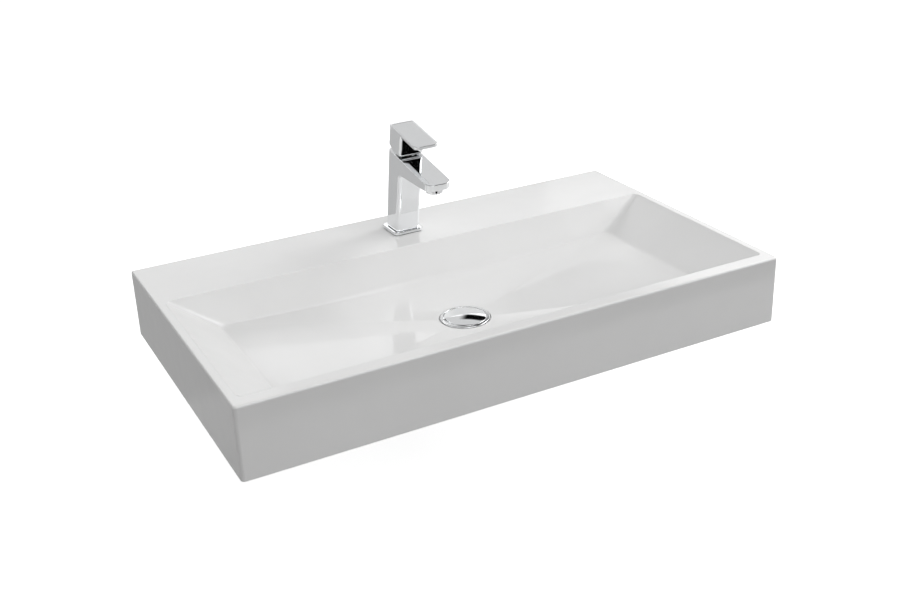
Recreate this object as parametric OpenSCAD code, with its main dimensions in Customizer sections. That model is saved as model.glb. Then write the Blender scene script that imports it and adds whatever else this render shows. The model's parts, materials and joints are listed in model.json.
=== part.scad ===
// Rectangular ceramic washbasin with a single lever mixer tap and a push-open waste.
// The origin is midway between the two wall bolt holes, on the back face of the basin.
// +X is to the right, +Y points to the wall and +Z is up. All sizes are in millimetres.

/* [Basin] */
// Width of the basin, left to right
basin_w = 800; // [640:10:1000]
// Depth of the basin, front edge to wall
basin_d = 450; // [375:5:540]
// Height of the basin
basin_h = 100; // [84:2:140]
// Radius of the upright corners
corner_r = 5; // [3:0.5:9]
// Radius of the top outer edges
top_edge_r = 3; // [1:0.5:4]
// Thickness of the outer walls
wall_t = 11; // [8:0.5:14]
// Thickness of the bowl's own shell
shell_t = 11; // [8:0.5:14]
// Thickness of the deck behind the bowl
deck_t = 13; // [10:1:18]

/* [Bowl] */
// Width of the left and right rims
side_rim = 12; // [9:1:40]
// Width of the front rim
front_rim = 20; // [12:1:60]
// Depth of the deck behind the bowl
deck_d = 130; // [110:5:170]
// How far each side wall slopes inwards on its way down
side_run = 59; // [20:1:90]
// How far the front and back walls slope inwards on their way down
end_run = 14; // [5:1:40]
// Plan radius of the bowl's corners at the rim
rim_corner_r = 8; // [4:1:20]
// Radius between the walls and the floor
floor_r = 14; // [6:1:20]
// Depth of the floor below the rim in the bowl's corners
corner_depth = 47; // [30:1:60]
// Depth of the floor below the rim halfway along the front and back walls
middle_depth = 55; // [30:1:64]
// Depth of the floor below the rim at the waste
bowl_depth = 70; // [60:1:72]

/* [Wall fixing] */
// Spacing of the two wall bolt holes
bolt_spacing = 280; // [180:10:500]
// Diameter of the wall bolt holes
bolt_hole_d = 14; // [10:0.5:18]
// Depth of the wall bolt holes below the rim
bolt_below_rim = 42; // [38:1:50]
// Diameter of the thickened pad round each wall bolt hole
bolt_pad_d = 44; // [30:1:60]
// How far each pad stands in from the back wall
bolt_pad_t = 7; // [2:1:12]

/* [Tap body] */
// Distance from the wall to the middle of the tap's base
tap_from_wall = 64; // [50:1:80]
// Diameter of the tap hole in the deck
tap_hole_d = 35; // [33:0.5:37]
// Thickness of the deck round the tap hole
tap_boss_t = 17; // [14:1:24]
// Diameter of the thickened boss round the tap hole
tap_boss_d = 74; // [60:1:90]
// Forward lean of the tap, in degrees
lean = 10; // [0:1:12]
// Width of the column and the spout
tap_w = 39; // [36:0.5:48]
// Front face of the column, from the tap's axis of lean
column_front = 20; // [19:0.5:26]
// Back face of the column, from the tap's axis of lean
column_back = 18; // [17:0.5:24]
// Radius of the column's upright edges
column_r = 6; // [2:0.5:9]
// Height of the spout's top face, measured up the lean
tap_top = 132; // [131:1:134]
// Reach of the spout, measured square to the lean
spout_reach = 111; // [108:1:150]
// Height of the spout's level underside above the deck
spout_under = 100.5; // [99:0.5:103]
// Plan radius of the spout's front corners
spout_tip_r = 11; // [4:0.5:16]
// Radius where the spout's underside runs into the column
spout_root_r = 8; // [3:0.5:12]
// Width of the base plate, left to right
base_w = 48; // [44:0.5:60]
// Depth of the base plate, front to back
base_d = 49; // [45:0.5:60]
// Height of the base plate
base_h = 5.5; // [4:0.5:9]
// Plan radius of the base plate's corners
base_r = 7; // [2:0.5:10]
// Thickness of the rubber gasket under the base plate
gasket_t = 1; // [0.5:0.1:2]
// Diameter of the shank that drops into the tap hole
shank_d = 30; // [29:0.5:32]
// Length of the shank below the deck's surface
shank_drop = 6; // [3:0.5:12]

/* [Tap clamp and inlets] */
// Diameter of the two threaded water inlets
inlet_d = 9; // [8:0.1:9.5]
// Depth of the two water inlets
inlet_depth = 12; // [8:0.5:16]
// Distance between the two water inlets
inlet_spacing = 15; // [13:0.5:16]
// How far the inlets lie behind the middle of the shank
inlet_back = 5; // [3:0.5:6]
// Diameter of the clamp stud
stud_d = 8; // [6:1:8]
// How far the stud lies in front of the middle of the shank
stud_front = 9; // [7:0.5:9.5]
// Length of the clamp stud
stud_l = 62; // [50:1:80]
// Depth of the stud's thread in the shank
stud_grip = 12; // [8:1:16]
// Diameter of the clamp plate and its rubber
clamp_d = 52; // [46:1:60]
// Thickness of the clamp rubber
clamp_seal_t = 3; // [1.5:0.5:5]
// Thickness of the clamp plate
clamp_plate_t = 2.5; // [1.5:0.5:4]
// Width of the slot that lets the supply hoses past the clamp
hose_slot_w = 28; // [24:1:32]
// Width across the flats of the clamp nut
clamp_nut_af = 13; // [10:1:16]
// Height of the clamp nut
clamp_nut_h = 14; // [6:1:20]

/* [Cartridge] */
// Height of the cartridge seat, measured up the lean
seat_h = 100; // [99:0.5:100.5]
// How far the cartridge axis lies in front of the tap's axis of lean
axis_front = 1; // [0:0.5:1.5]
// Outer diameter of the cartridge
cartridge_d = 25; // [24:0.5:26]
// Bore of the cartridge housing
housing_bore_d = 19.6; // [19:0.1:20]
// Thickness of the cartridge base
cartridge_base_t = 6; // [5.5:0.1:6.5]
// Diameter of the water ways in the cartridge base and the body
water_way_d = 5.5; // [4:0.5:6]
// Distance of each inlet water way from the cartridge axis
water_way_x = 6; // [5.5:0.1:6.5]
// Thickness of each ceramic disc
disc_t = 3; // [2.5:0.1:3.2]
// Diameter of the moving ceramic disc and its carrier
moving_disc_d = 14; // [13:0.5:14.5]
// Height of the disc carrier
carrier_h = 5.9; // [5:0.1:6]
// Height of the spindle's pivot above the seat
pivot_above_seat = 26; // [25.5:0.1:26.5]
// Distance from the pivot to the ball that drives the disc
arm_l = 10.5; // [9.5:0.1:10.5]
// Diameter of the spindle's ball
ball_d = 6; // [5:0.1:6]
// Diameter of the pivot pin
pin_d = 3; // [2:0.1:3]
// Width across the spindle's square shank
shank_square = 7; // [6:0.1:7]
// Height of the spindle's shank above the pivot
shank_above_pivot = 32; // [28:0.5:34]
// Lever travel from closed to fully open, in degrees
tilt_range = 20; // [12:1:20]
// Width across the flats of the cartridge nut
cartridge_nut_af = 20; // [18.5:0.5:20]

/* [Lever] */
// Width of the lever
lever_w = 38; // [36:0.5:46]
// Front face of the lever's block, from the tap's axis of lean
block_front = 20; // [18:0.5:26]
// Back face of the lever, from the tap's axis of lean
lever_back = 16; // [15:0.5:22]
// Front edge of the lever's blade, from the tap's axis of lean
blade_front = 68; // [50:1:90]
// Height of the lever's top face, measured up the lean
lever_top = 172; // [168:0.5:180]
// Thickness of the blade
blade_t = 4.5; // [3:0.5:8]
// Gap between the lever's block and the body
lever_gap = 1.8; // [1.8:0.1:3]
// Plan radius of the blade's front corners
blade_r = 7; // [2:0.5:10]
// Radius of the block's upright edges
block_r = 6; // [2:0.5:6]
// Height of the relief cut under the back of the block
relief_h = 7; // [7:0.5:10]
// Width of the raised border round the blade's panel
panel_border = 1.6; // [0.8:0.1:4]
// Depth of the sunk panel in the blade
panel_sink = 0.5; // [0.2:0.1:1]

/* [Aerator] */
// Distance of the aerator in front of the middle of the tap's base
aerator_y = 113; // [108:1:115]
// Outer diameter of the aerator's visible ring
aerator_d = 24; // [20:0.5:26]
// Height of the aerator's visible ring
aerator_ring_h = 5; // [3:0.5:8]
// Diameter of the aerator's threaded part
aerator_thread_d = 21; // [18:0.5:22]
// Length of the aerator's threaded part
aerator_thread_l = 6.5; // [4:0.5:7]
// Diameter of the water channel in the spout
spout_channel_d = 7; // [5:0.5:8]

/* [Waste] */
// Distance from the wall to the middle of the waste
waste_from_wall = 258; // [230:1:270]
// Diameter of the waste hole in the basin
waste_hole_d = 46; // [44.5:0.5:48]
// Diameter of the waste's flange
flange_d = 71; // [66:0.5:76]
// Depth of the recess that the flange sits in
flange_recess = 3; // [2.5:0.5:4]
// Thickness of the flange's rim
flange_t = 3.5; // [3:0.1:4.5]
// Diameter of the plug's cap
cap_d = 61; // [56:0.5:63]
// Height of the dome of the plug's cap
cap_dome = 2.6; // [1:0.1:5]
// Travel of the plug from closed to open
plug_travel = 8; // [4:0.5:10]
// Outer diameter of the threaded tail
tail_d = 41.91; // [38:0.01:43]
// Wall thickness of the tail
tail_wall = 2.4; // [2:0.1:3]
// Length of the tail below the bowl's floor
tail_l = 76; // [60:1:110]
// Diameter of the plug's stem
stem_d = 6; // [5:0.1:7]
// Width across the flats of the waste nut
waste_nut_af = 56; // [52:0.5:60]
// Height of the waste nut
waste_nut_h = 10; // [6:0.5:14]

/* [Hidden] */
$fn = 64;

// Running clearance between a shaft and its hole, and the gap between parts that pass each other
running = 0.05;
gap = 0.3;
// Play of a threaded or seated piece in its hole
seat_play = 0.1;
// Overshoot of a cut past the face that it opens
over = 1;
// Facets of rounded pieces inside a hull
hull_fn = 32;

// Heights and lines of the basin
top_z = bolt_below_rim;
bottom_z = top_z - basin_h;
floor_z = top_z - bowl_depth;
bowl_x = basin_w / 2 - side_rim;
bowl_front = -basin_d + front_rim;
bowl_back = -deck_d;
floor_x = bowl_x - side_run;
floor_front = bowl_front + end_run;
floor_back = bowl_back - end_run;
// Steps along the curved foot of the front and back walls, on each side of the middle
foot_steps = 3;

// The waste's flange, on its seal in the recess. Heights are measured from the bowl's floor there
recess_play = 1.5;
flat_margin = 3;
waste_flat_d = flange_d + 2 * flat_margin;
flange_seal_t = 1;
flange_low = flange_seal_t - flange_recess;
flange_top = flange_low + flange_t;
dish_floor_t = 1;
dish_z = flange_low + dish_floor_t;

// The plug's cap inside the flange's lip
cap_gap = 0.6;
lip_r = cap_d / 2 + cap_gap;
cap_edge_h = 1.6;
cap_low = flange_top - cap_edge_h;
cap_boss_d = 12;
cap_boss_low = -4;

// The waste's tail, with its collar in the waste hole and its spider round the click sleeve
collar_play = 0.5;
collar_r = waste_hole_d / 2 - collar_play;
collar_low = -9;
tail_r = tail_d / 2;
tail_bore_r = tail_r - tail_wall;
throat_z = -10;
spider_z = -24;
spider_t = 4;
spider_w = 4;
hub_d = 14;
sleeve_d = 10;
sleeve_top = -12;
sleeve_low = -34;
sleeve_floor_t = 2;
sleeve_collar_t = 1.5;

// The seal, washer and nut under the bowl's shell, and the groove below them on the tail
under_seal_t = 8;
washer_t = 2;
waste_nut_low = -shell_t - under_seal_t - washer_t - waste_nut_h;
groove_top = waste_nut_low - 2;
groove_w = 3;
groove_depth = 1;

// Leaned heights of the cartridge, from the seat up
axis_y = -axis_front;
fixed_disc_h = seat_h + cartridge_base_t;
film = 0.1;
moving_disc_h = fixed_disc_h + disc_t + film;
carrier_low = moving_disc_h + disc_t;
carrier_top = carrier_low + carrier_h;
pivot_h = seat_h + pivot_above_seat;
rest_angle = tilt_range / 2;
disc_offset = arm_l * sin(rest_angle);
rotor_gap = 0.4;
rotor_low = carrier_top + rotor_gap;
above_pivot = 4;
rotor_top = pivot_h + above_pivot;
housing_lip = rotor_top + gap;
lip_t = 2;
housing_top = housing_lip + lip_t;
shoulder_h = pivot_h - above_pivot;
shoulder_t = 2;
shoulder_wall = 1.7;
shoulder_d = cartridge_d + 2 * shoulder_wall;
neck_wall = 1.1;
neck_d = housing_bore_d + 2 * neck_wall;
nut_wall = 2.5;
nut_thread_d = cartridge_d + 2 * nut_wall;
nut_play = 0.2;
nut_step = housing_top + nut_play;
nut_head_h = 3.8;
nut_top = nut_step + nut_head_h;
nut_bore_d = 16;
rail_w = 5;
rail_h = 1.5;
slot_x = shank_square + 2 * gap;
slot_y = 9.8;

// The water gallery round the cartridge, the seal over it and the seals under the base
gallery_wall = 2;
gallery_d = cartridge_d + 2 * gallery_wall;
gallery_low = seat_h + 3;
gallery_h = 12.5;
gallery_top = gallery_low + gallery_h;
seal_above_gallery = 2.5;
seal_h = gallery_top + seal_above_gallery;
seal_wire = 1.8;
way_seal_wall = 1.5;
way_seal_t = 1;
disc_way_d = 4;

// Leaned heights of the lever
block_low = tap_top + lever_gap;
block_top = lever_top - blade_t;
lever_back_r = 3;
lever_cavity_d = 29;
cavity_above_pivot = 17;
lever_cavity_top = pivot_h + cavity_above_pivot;
relief_start = axis_y + 2;
screw_above_pivot = 24;
screw_h = pivot_h + screw_above_pivot;
screw_d = 5;
screw_l = 8;
cap_hole_d = 7;
cap_hole_depth = 3.5;

// The aerator's bore for its insert, and the seal above it
aerator_wall = 1.7;
aerator_bore_d = aerator_thread_d - 2 * aerator_wall;
aerator_seal_t = 1.5;

// Heights of the clamp under the deck, measured from the deck's surface
clamp_seal_top = -tap_boss_t;
clamp_plate_top = clamp_seal_top - clamp_seal_t;
clamp_nut_top = clamp_plate_top - clamp_plate_t;

// A point given in the leaned frame, turned upright
function upright(p) = [p[0], p[1] * cos(lean) - p[2] * sin(lean), p[1] * sin(lean) + p[2] * cos(lean)];

// Leaned height of the spout's level underside, at a leaned distance y
function under_h(y) = (spout_under - y * sin(lean)) / cos(lean);

// Depth of the bowl's floor below the rim at the foot of the front and back walls
function foot_depth(t) = middle_depth + (corner_depth - middle_depth) * t * t;

module at_tap() {
    translate([0, -tap_from_wall, top_z]) children();
}

module leaned() {
    at_tap() rotate([lean, 0, 0]) children();
}

module on_cartridge(h) {
    leaned() translate([0, axis_y, h]) children();
}

module at_aerator(z) {
    at_tap() translate([0, -aerator_y, spout_under + z]) children();
}

module at_waste() {
    translate([0, -waste_from_wall, floor_z]) children();
}

// Rectangle with round corners, made of true arcs
module round_rect(w, d, r) {
    square([w - 2 * r, d], center = true);
    square([w, d - 2 * r], center = true);
    for (x = [-1, 1], y = [-1, 1]) {
        translate([x * (w / 2 - r), y * (d / 2 - r)]) circle(r = r);
    }
}

// Rectangle from y1 to y2 with its own corner radius at each end
module two_end_rect(w, y1, r1, y2, r2) {
    translate([-w / 2, y1 + r1]) square([w, y2 - r2 - y1 - r1]);
    translate([-w / 2 + r1, y1]) square([w - 2 * r1, r1 + over]);
    translate([-w / 2 + r2, y2 - r2 - over]) square([w - 2 * r2, r2 + over]);
    for (x = [-1, 1]) {
        translate([x * (w / 2 - r1), y1 + r1]) circle(r = r1);
        translate([x * (w / 2 - r2), y2 - r2]) circle(r = r2);
    }
}

// What a rounding takes off an edge along X, with the solid behind and below it
module edge_rounding(l, r) {
    translate([-l / 2, 0, 0]) difference() {
        translate([0, -over, -r]) cube([l, r + over, r + over]);
        translate([-over, r, -r]) rotate([0, 90, 0]) cylinder(r = r, h = l + 2 * over);
    }
}

module tube(d, bore, h) {
    difference() {
        cylinder(d = d, h = h);
        translate([0, 0, -over]) cylinder(d = bore, h = h + 2 * over);
    }
}

module hexagon(af, h) {
    linear_extrude(h) circle(d = af / cos(30), $fn = 6);
}

// Straight round bar or drilling between two points
module bar(a, b, d) {
    v = b - a;
    l = norm(v);
    translate(a) rotate([0, acos(v[2] / l), atan2(v[1], v[0])]) cylinder(d = d, h = l);
}

// The bowl, or with grow the outside of its shell
module bowl(grow) {
    rise = grow > 0 ? 0 : over;
    hull() {
        for (x = [-1, 1], y = [bowl_front + rim_corner_r, bowl_back - rim_corner_r]) {
            translate([x * (bowl_x - rim_corner_r), y, top_z - over])
                cylinder(r = rim_corner_r + grow, h = over + rise, $fn = hull_fn);
        }
        for (i = [-foot_steps:foot_steps], y = [floor_front + floor_r, floor_back - floor_r]) {
            translate([
                i / foot_steps * (floor_x - floor_r),
                y,
                top_z - foot_depth(i / foot_steps) + floor_r
            ])
                sphere(r = floor_r + grow, $fn = hull_fn);
        }
        at_waste() translate([0, 0, -grow]) cylinder(d = waste_flat_d, h = over, $fn = hull_fn);
    }
}

module basin_block() {
    difference() {
        translate([0, -basin_d / 2, bottom_z]) linear_extrude(basin_h)
            two_end_rect(basin_w, -basin_d / 2, corner_r, basin_d / 2, top_edge_r);
        translate([0, -basin_d, top_z]) edge_rounding(basin_w + 2 * over, top_edge_r);
        for (side = [-1, 1]) {
            translate([side * basin_w / 2, -basin_d / 2, top_z]) rotate([0, 0, side * 90])
                edge_rounding(basin_d + 2 * over, top_edge_r);
        }
    }
}

// The hollow under the deck and round the bowl's shell, open at the bottom
module basin_hollow() {
    difference() {
        translate([-basin_w / 2 + wall_t, -basin_d + wall_t, bottom_z - over])
            cube([basin_w - 2 * wall_t, basin_d - 2 * wall_t, basin_h - deck_t + over]);
        bowl(shell_t);
        at_tap() translate([0, 0, -tap_boss_t]) cylinder(d = tap_boss_d, h = tap_boss_t);
        for (x = [-1, 1]) {
            translate([x * bolt_spacing / 2, 0, 0]) rotate([90, 0, 0])
                cylinder(d = bolt_pad_d, h = wall_t + bolt_pad_t);
        }
    }
}

module basin() {
    color("white") difference() {
        basin_block();
        bowl(0);
        basin_hollow();
        at_tap() translate([0, 0, -tap_boss_t - over])
            cylinder(d = tap_hole_d, h = tap_boss_t + 2 * over);
        at_waste() {
            translate([0, 0, -shell_t - over])
                cylinder(d = waste_hole_d, h = shell_t + 2 * over);
            translate([0, 0, -flange_recess])
                cylinder(d = flange_d + 2 * recess_play, h = flange_recess + over);
        }
        for (x = [-1, 1]) {
            translate([x * bolt_spacing / 2, over, 0]) rotate([90, 0, 0])
                cylinder(d = bolt_hole_d, h = wall_t + bolt_pad_t + 2 * over);
        }
    }
}

module tap_base_plate() {
    color("silver") at_tap() difference() {
        translate([0, 0, gasket_t]) linear_extrude(base_h - gasket_t) round_rect(base_w, base_d, base_r);
        cylinder(d = shank_d + 2 * seat_play, h = base_h + over);
        for (turn = [0, 180]) {
            rotate([0, 0, turn]) translate([0, -base_d / 2, base_h]) edge_rounding(base_w, 1);
            rotate([0, 0, turn + 90]) translate([0, -base_w / 2, base_h]) edge_rounding(base_d, 1);
        }
    }
}

module tap_base_gasket() {
    inset = 1;
    color("dimgray") at_tap() difference() {
        linear_extrude(gasket_t) round_rect(base_w - 2 * inset, base_d - 2 * inset, base_r - inset);
        translate([0, 0, -over]) cylinder(d = shank_d + 2 * seat_play, h = gasket_t + 2 * over);
    }
}

// Side view of the spout, and the fillet where it meets the column
module spout_profile() {
    fillet_y = -column_front - spout_root_r;
    fillet_h = under_h(fillet_y) - spout_root_r / cos(lean);
    tangent = [fillet_y + spout_root_r * sin(lean), fillet_h + spout_root_r * cos(lean)];
    polygon([
        [0, tap_top],
        [-spout_reach, tap_top],
        [-spout_reach, under_h(-spout_reach)],
        [0, under_h(0)]
    ]);
    difference() {
        polygon([
            [fillet_y, fillet_h],
            [-column_front + over, fillet_h],
            [-column_front + over, under_h(-column_front) + over],
            [tangent[0], tangent[1] + over]
        ]);
        translate([fillet_y, fillet_h]) circle(r = spout_root_r);
    }
}

// Column and spout, leaned and cut off level with the base plate
module tap_outside() {
    foot = column_front + column_back;
    difference() {
        leaned() {
            translate([0, 0, -foot * sin(lean)])
                linear_extrude(tap_top + foot * sin(lean))
                    two_end_rect(tap_w, -column_front, column_r, column_back, column_r);
            intersection() {
                linear_extrude(tap_top)
                    two_end_rect(tap_w, -spout_reach, spout_tip_r, column_back, column_r);
                translate([-tap_w / 2, 0, 0]) rotate([90, 0, 90])
                    linear_extrude(tap_w) spout_profile();
            }
        }
        at_tap() translate([-base_w, -base_d, base_h - foot]) cube([2 * base_w, 2 * base_d, foot]);
    }
    at_tap() translate([0, 0, -shank_drop]) cylinder(d = shank_d, h = shank_drop + base_h + over);
}

module tap_body() {
    into_bore = 2;
    channel_end = aerator_y - aerator_thread_d / 2 + into_bore;
    channel_z = spout_under + 5.2;
    color("silver") difference() {
        tap_outside();
        on_cartridge(seat_h) cylinder(d = cartridge_d + 2 * seat_play, h = tap_top - seat_h + over);
        on_cartridge(gallery_low) cylinder(d = gallery_d, h = gallery_top - gallery_low);
        on_cartridge(shoulder_h) cylinder(d = nut_thread_d, h = tap_top - shoulder_h + over);
        at_tap() {
            for (x = [-1, 1]) {
                translate([x * inlet_spacing / 2, inlet_back, -shank_drop - over])
                    cylinder(d = inlet_d, h = inlet_depth + over);
                bar(
                    [x * inlet_spacing / 2, inlet_back, inlet_depth - shank_drop - over],
                    upright([x * water_way_x, axis_y, seat_h + over]),
                    water_way_d
                );
            }
            translate([0, -stud_front, -shank_drop - over])
                cylinder(d = stud_d + 2 * running, h = stud_grip + over);
            bar(
                [0, -channel_end, channel_z],
                upright([0, axis_y - gallery_d / 2 + into_bore, gallery_top - spout_channel_d / 2]),
                spout_channel_d
            );
        }
        at_aerator(-over) cylinder(d = aerator_thread_d, h = aerator_thread_l + aerator_seal_t + over);
    }
}

module cartridge_seals() {
    color("black") for (x = [-1, 1]) {
        on_cartridge(seat_h) translate([x * water_way_x, 0, 0])
            tube(water_way_d + 2 * way_seal_wall, water_way_d + 4 * seat_play, way_seal_t);
    }
}

module cartridge_base() {
    window_w = 6;
    web = 4;
    color("white") difference() {
        on_cartridge(seat_h) cylinder(d = cartridge_d, h = cartridge_base_t);
        on_cartridge(seat_h - over) for (x = [-1, 1]) {
            translate([x * water_way_x, 0, 0]) {
                cylinder(d = water_way_d, h = cartridge_base_t + 2 * over);
                cylinder(d = water_way_d + 2 * way_seal_wall, h = way_seal_t + over);
            }
        }
        on_cartridge(gallery_low) translate([-window_w / 2, -cartridge_d, 0])
            cube([window_w, cartridge_d - web, cartridge_base_t]);
    }
}

module fixed_disc() {
    color("lightgray") on_cartridge(fixed_disc_h) difference() {
        cylinder(d = housing_bore_d - 2 * seat_play, h = disc_t);
        for (way = [[-water_way_x, 0], [water_way_x, 0], [0, -water_way_x]]) {
            translate([way[0], way[1], -over]) cylinder(d = disc_way_d, h = disc_t + 2 * over);
        }
    }
}

module moving_disc() {
    chamber_d = 8;
    chamber_y = -2;
    color("white") on_cartridge(moving_disc_h) translate([0, disc_offset, 0]) difference() {
        cylinder(d = moving_disc_d, h = disc_t);
        translate([0, chamber_y, -over]) cylinder(d = chamber_d, h = disc_t / 2 + over);
    }
}

module disc_carrier() {
    color("orange") on_cartridge(carrier_low) translate([0, disc_offset, 0]) difference() {
        union() {
            cylinder(d = moving_disc_d, h = carrier_h);
            intersection() {
                translate([-rail_w / 2, -moving_disc_d / 2, 0])
                    cube([rail_w, moving_disc_d, carrier_h + rail_h]);
                cylinder(d = moving_disc_d, h = carrier_h + rail_h);
            }
        }
        translate([0, 0, -over]) cylinder(d = ball_d + 2 * gap, h = carrier_h + rail_h + 2 * over);
    }
}

module cartridge_housing() {
    color("ivory") difference() {
        union() {
            on_cartridge(fixed_disc_h) cylinder(d = cartridge_d, h = shoulder_h - fixed_disc_h);
            on_cartridge(shoulder_h) cylinder(d = shoulder_d, h = shoulder_t);
            on_cartridge(shoulder_h) cylinder(d = neck_d, h = housing_top - shoulder_h);
        }
        on_cartridge(fixed_disc_h - over)
            cylinder(d = housing_bore_d, h = housing_lip - fixed_disc_h + over);
        on_cartridge(housing_lip - over) cylinder(d = nut_bore_d, h = lip_t + 2 * over);
        on_cartridge(seal_h) rotate_extrude()
            translate([cartridge_d / 2 - seal_wire / 2 + seat_play, 0]) circle(d = seal_wire);
    }
}

module housing_seal() {
    color("black") on_cartridge(seal_h) rotate_extrude()
        translate([cartridge_d / 2 - seal_wire / 2 + seat_play, 0]) circle(d = seal_wire);
}

module spindle_holder() {
    color("white") difference() {
        on_cartridge(rotor_low) cylinder(d = housing_bore_d - 2 * seat_play, h = rotor_top - rotor_low);
        on_cartridge(rotor_low - over) translate([-slot_x / 2, -slot_y / 2, 0])
            cube([slot_x, slot_y, rotor_top - rotor_low + 2 * over]);
        on_cartridge(rotor_low - over) translate([-rail_w / 2 - gap, -housing_bore_d / 2, 0])
            cube([rail_w + 2 * gap, housing_bore_d, rail_h + over]);
        on_cartridge(pivot_h) rotate([0, 90, 0])
            cylinder(d = pin_d, h = housing_bore_d, center = true);
    }
}

module spindle_pin() {
    end_gap = 0.8;
    color("gray") on_cartridge(pivot_h) rotate([0, 90, 0])
        cylinder(d = pin_d, h = housing_bore_d - 2 * end_gap, center = true);
}

// The spindle stands at half the lever's travel from the cartridge axis when the tap is closed
module on_spindle() {
    on_cartridge(pivot_h) rotate([rest_angle, 0, 0]) children();
}

module spindle() {
    eye_wall = 2.5;
    arm_d = ball_d - 2;
    color("goldenrod") difference() {
        on_spindle() {
            translate([0, 0, -arm_l]) sphere(d = ball_d);
            translate([0, 0, -arm_l]) cylinder(d = arm_d, h = arm_l);
            rotate([0, 90, 0]) cylinder(d = pin_d + 2 * eye_wall, h = shank_square, center = true);
            translate([-shank_square / 2, -shank_square / 2, 0])
                cube([shank_square, shank_square, shank_above_pivot]);
        }
        on_spindle() rotate([0, 90, 0])
            cylinder(d = pin_d + 2 * running, h = shank_square + 2 * over, center = true);
    }
}

module cartridge_nut() {
    nut_low = shoulder_h + shoulder_t;
    undercut = 3;
    color("goldenrod") difference() {
        union() {
            on_cartridge(nut_low) cylinder(d = nut_thread_d - 2 * seat_play, h = tap_top - nut_low);
            on_cartridge(tap_top)
                cylinder(d = nut_thread_d - 2 * undercut, h = nut_step - tap_top + 2 * nut_play);
            on_cartridge(nut_step) hexagon(cartridge_nut_af, nut_top - nut_step);
        }
        on_cartridge(nut_low - over) cylinder(d = neck_d + 2 * gap, h = nut_step - nut_low + over);
        on_cartridge(nut_step - over) cylinder(d = nut_bore_d, h = nut_top - nut_step + 2 * over);
    }
}

module lever_outside() {
    leaned() {
        translate([0, 0, block_low]) linear_extrude(block_top - block_low + over)
            two_end_rect(lever_w, -block_front, block_r, lever_back, lever_back_r);
        translate([0, 0, block_top]) linear_extrude(blade_t)
            two_end_rect(lever_w, -blade_front, blade_r, lever_back, lever_back_r);
    }
}

module lever() {
    relief_run = lever_back - relief_start;
    panel_r = blade_r - panel_border;
    panel_back_r = 2;
    above_shank = 1;
    color("silver") difference() {
        lever_outside();
        leaned() {
            translate([0, 0, lever_top - panel_sink]) linear_extrude(panel_sink + over)
                two_end_rect(
                    lever_w - 2 * panel_border,
                    -blade_front + panel_border,
                    panel_r,
                    lever_back - panel_border,
                    panel_back_r
                );
            translate([-lever_w, relief_start, block_low]) rotate([90, 0, 90])
                linear_extrude(2 * lever_w)
                    polygon([[0, -over], [0, 0], [2 * relief_run, 2 * relief_h], [2 * relief_run, -over]]);
            translate([0, axis_y, screw_h]) rotate([-90, 0, 0])
                cylinder(d = screw_d, h = lever_back - axis_y + over);
            translate([0, lever_back - cap_hole_depth, screw_h]) rotate([-90, 0, 0])
                cylinder(d = cap_hole_d, h = cap_hole_depth + over);
        }
        on_cartridge(block_low - over) cylinder(d = lever_cavity_d, h = lever_cavity_top - block_low + over);
        on_spindle() translate([-shank_square / 2, -shank_square / 2, 0])
            cube([shank_square, shank_square, shank_above_pivot + above_shank]);
    }
}

module lever_screw() {
    socket_af = 2.5;
    socket_depth = 3;
    color("dimgray") leaned() translate([0, axis_y + gap, screw_h]) rotate([-90, 0, 0])
        difference() {
            cylinder(d = screw_d, h = screw_l);
            translate([0, 0, screw_l - socket_depth]) hexagon(socket_af, socket_depth + over);
        }
}

module indicator_cap() {
    stand_out = 0.3;
    color("silver") leaned() translate([0, lever_back - cap_hole_depth, screw_h]) rotate([-90, 0, 0])
        cylinder(d = cap_hole_d, h = cap_hole_depth + stand_out);
}

module aerator_ring() {
    color("silver") difference() {
        union() {
            at_aerator(-aerator_ring_h) cylinder(d = aerator_d, h = aerator_ring_h);
            at_aerator(0) cylinder(d = aerator_thread_d, h = aerator_thread_l);
        }
        at_aerator(-aerator_ring_h - over)
            cylinder(d = aerator_bore_d, h = aerator_ring_h + aerator_thread_l + 2 * over);
    }
}

module aerator_insert() {
    cell_d = 1.8;
    cell_pitch = 2.8;
    rings = 2;
    set_back = 0.6;
    face_t = 2.4;
    cup_wall = 1.5;
    insert_h = aerator_ring_h + 5;
    color("lightgray") at_aerator(set_back - aerator_ring_h) difference() {
        cylinder(d = aerator_bore_d, h = insert_h);
        translate([0, 0, face_t]) cylinder(d = aerator_bore_d - 2 * cup_wall, h = insert_h);
        translate([0, 0, -over]) cylinder(d = cell_d, h = face_t + 2 * over);
        for (ring = [1:rings], i = [0:6 * ring - 1]) {
            rotate([0, 0, 60 * i / ring]) translate([cell_pitch * ring, 0, -over])
                cylinder(d = cell_d, h = face_t + 2 * over);
        }
    }
}

module aerator_seal() {
    seal_wall = 3;
    color("black") at_aerator(aerator_thread_l)
        tube(aerator_thread_d, aerator_thread_d - 2 * seal_wall, aerator_seal_t);
}

module clamp_stud() {
    color("gray") at_tap() translate([0, -stud_front, stud_grip - shank_drop - stud_l])
        cylinder(d = stud_d, h = stud_l);
}

// Round plate with a stud hole and a slot that is open towards the wall
module clamp_outline(t) {
    hose_margin = 1;
    difference() {
        cylinder(d = clamp_d, h = t);
        translate([0, -stud_front, -over]) cylinder(d = stud_d + 2 * gap, h = t + 2 * over);
        translate([-hose_slot_w / 2, inlet_back - inlet_d / 2 - hose_margin, -over])
            cube([hose_slot_w, clamp_d, t + 2 * over]);
    }
}

module clamp_seal() {
    color("black") at_tap() translate([0, 0, clamp_seal_top - clamp_seal_t]) clamp_outline(clamp_seal_t);
}

module clamp_plate() {
    color("gray") at_tap() translate([0, 0, clamp_plate_top - clamp_plate_t]) clamp_outline(clamp_plate_t);
}

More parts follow.
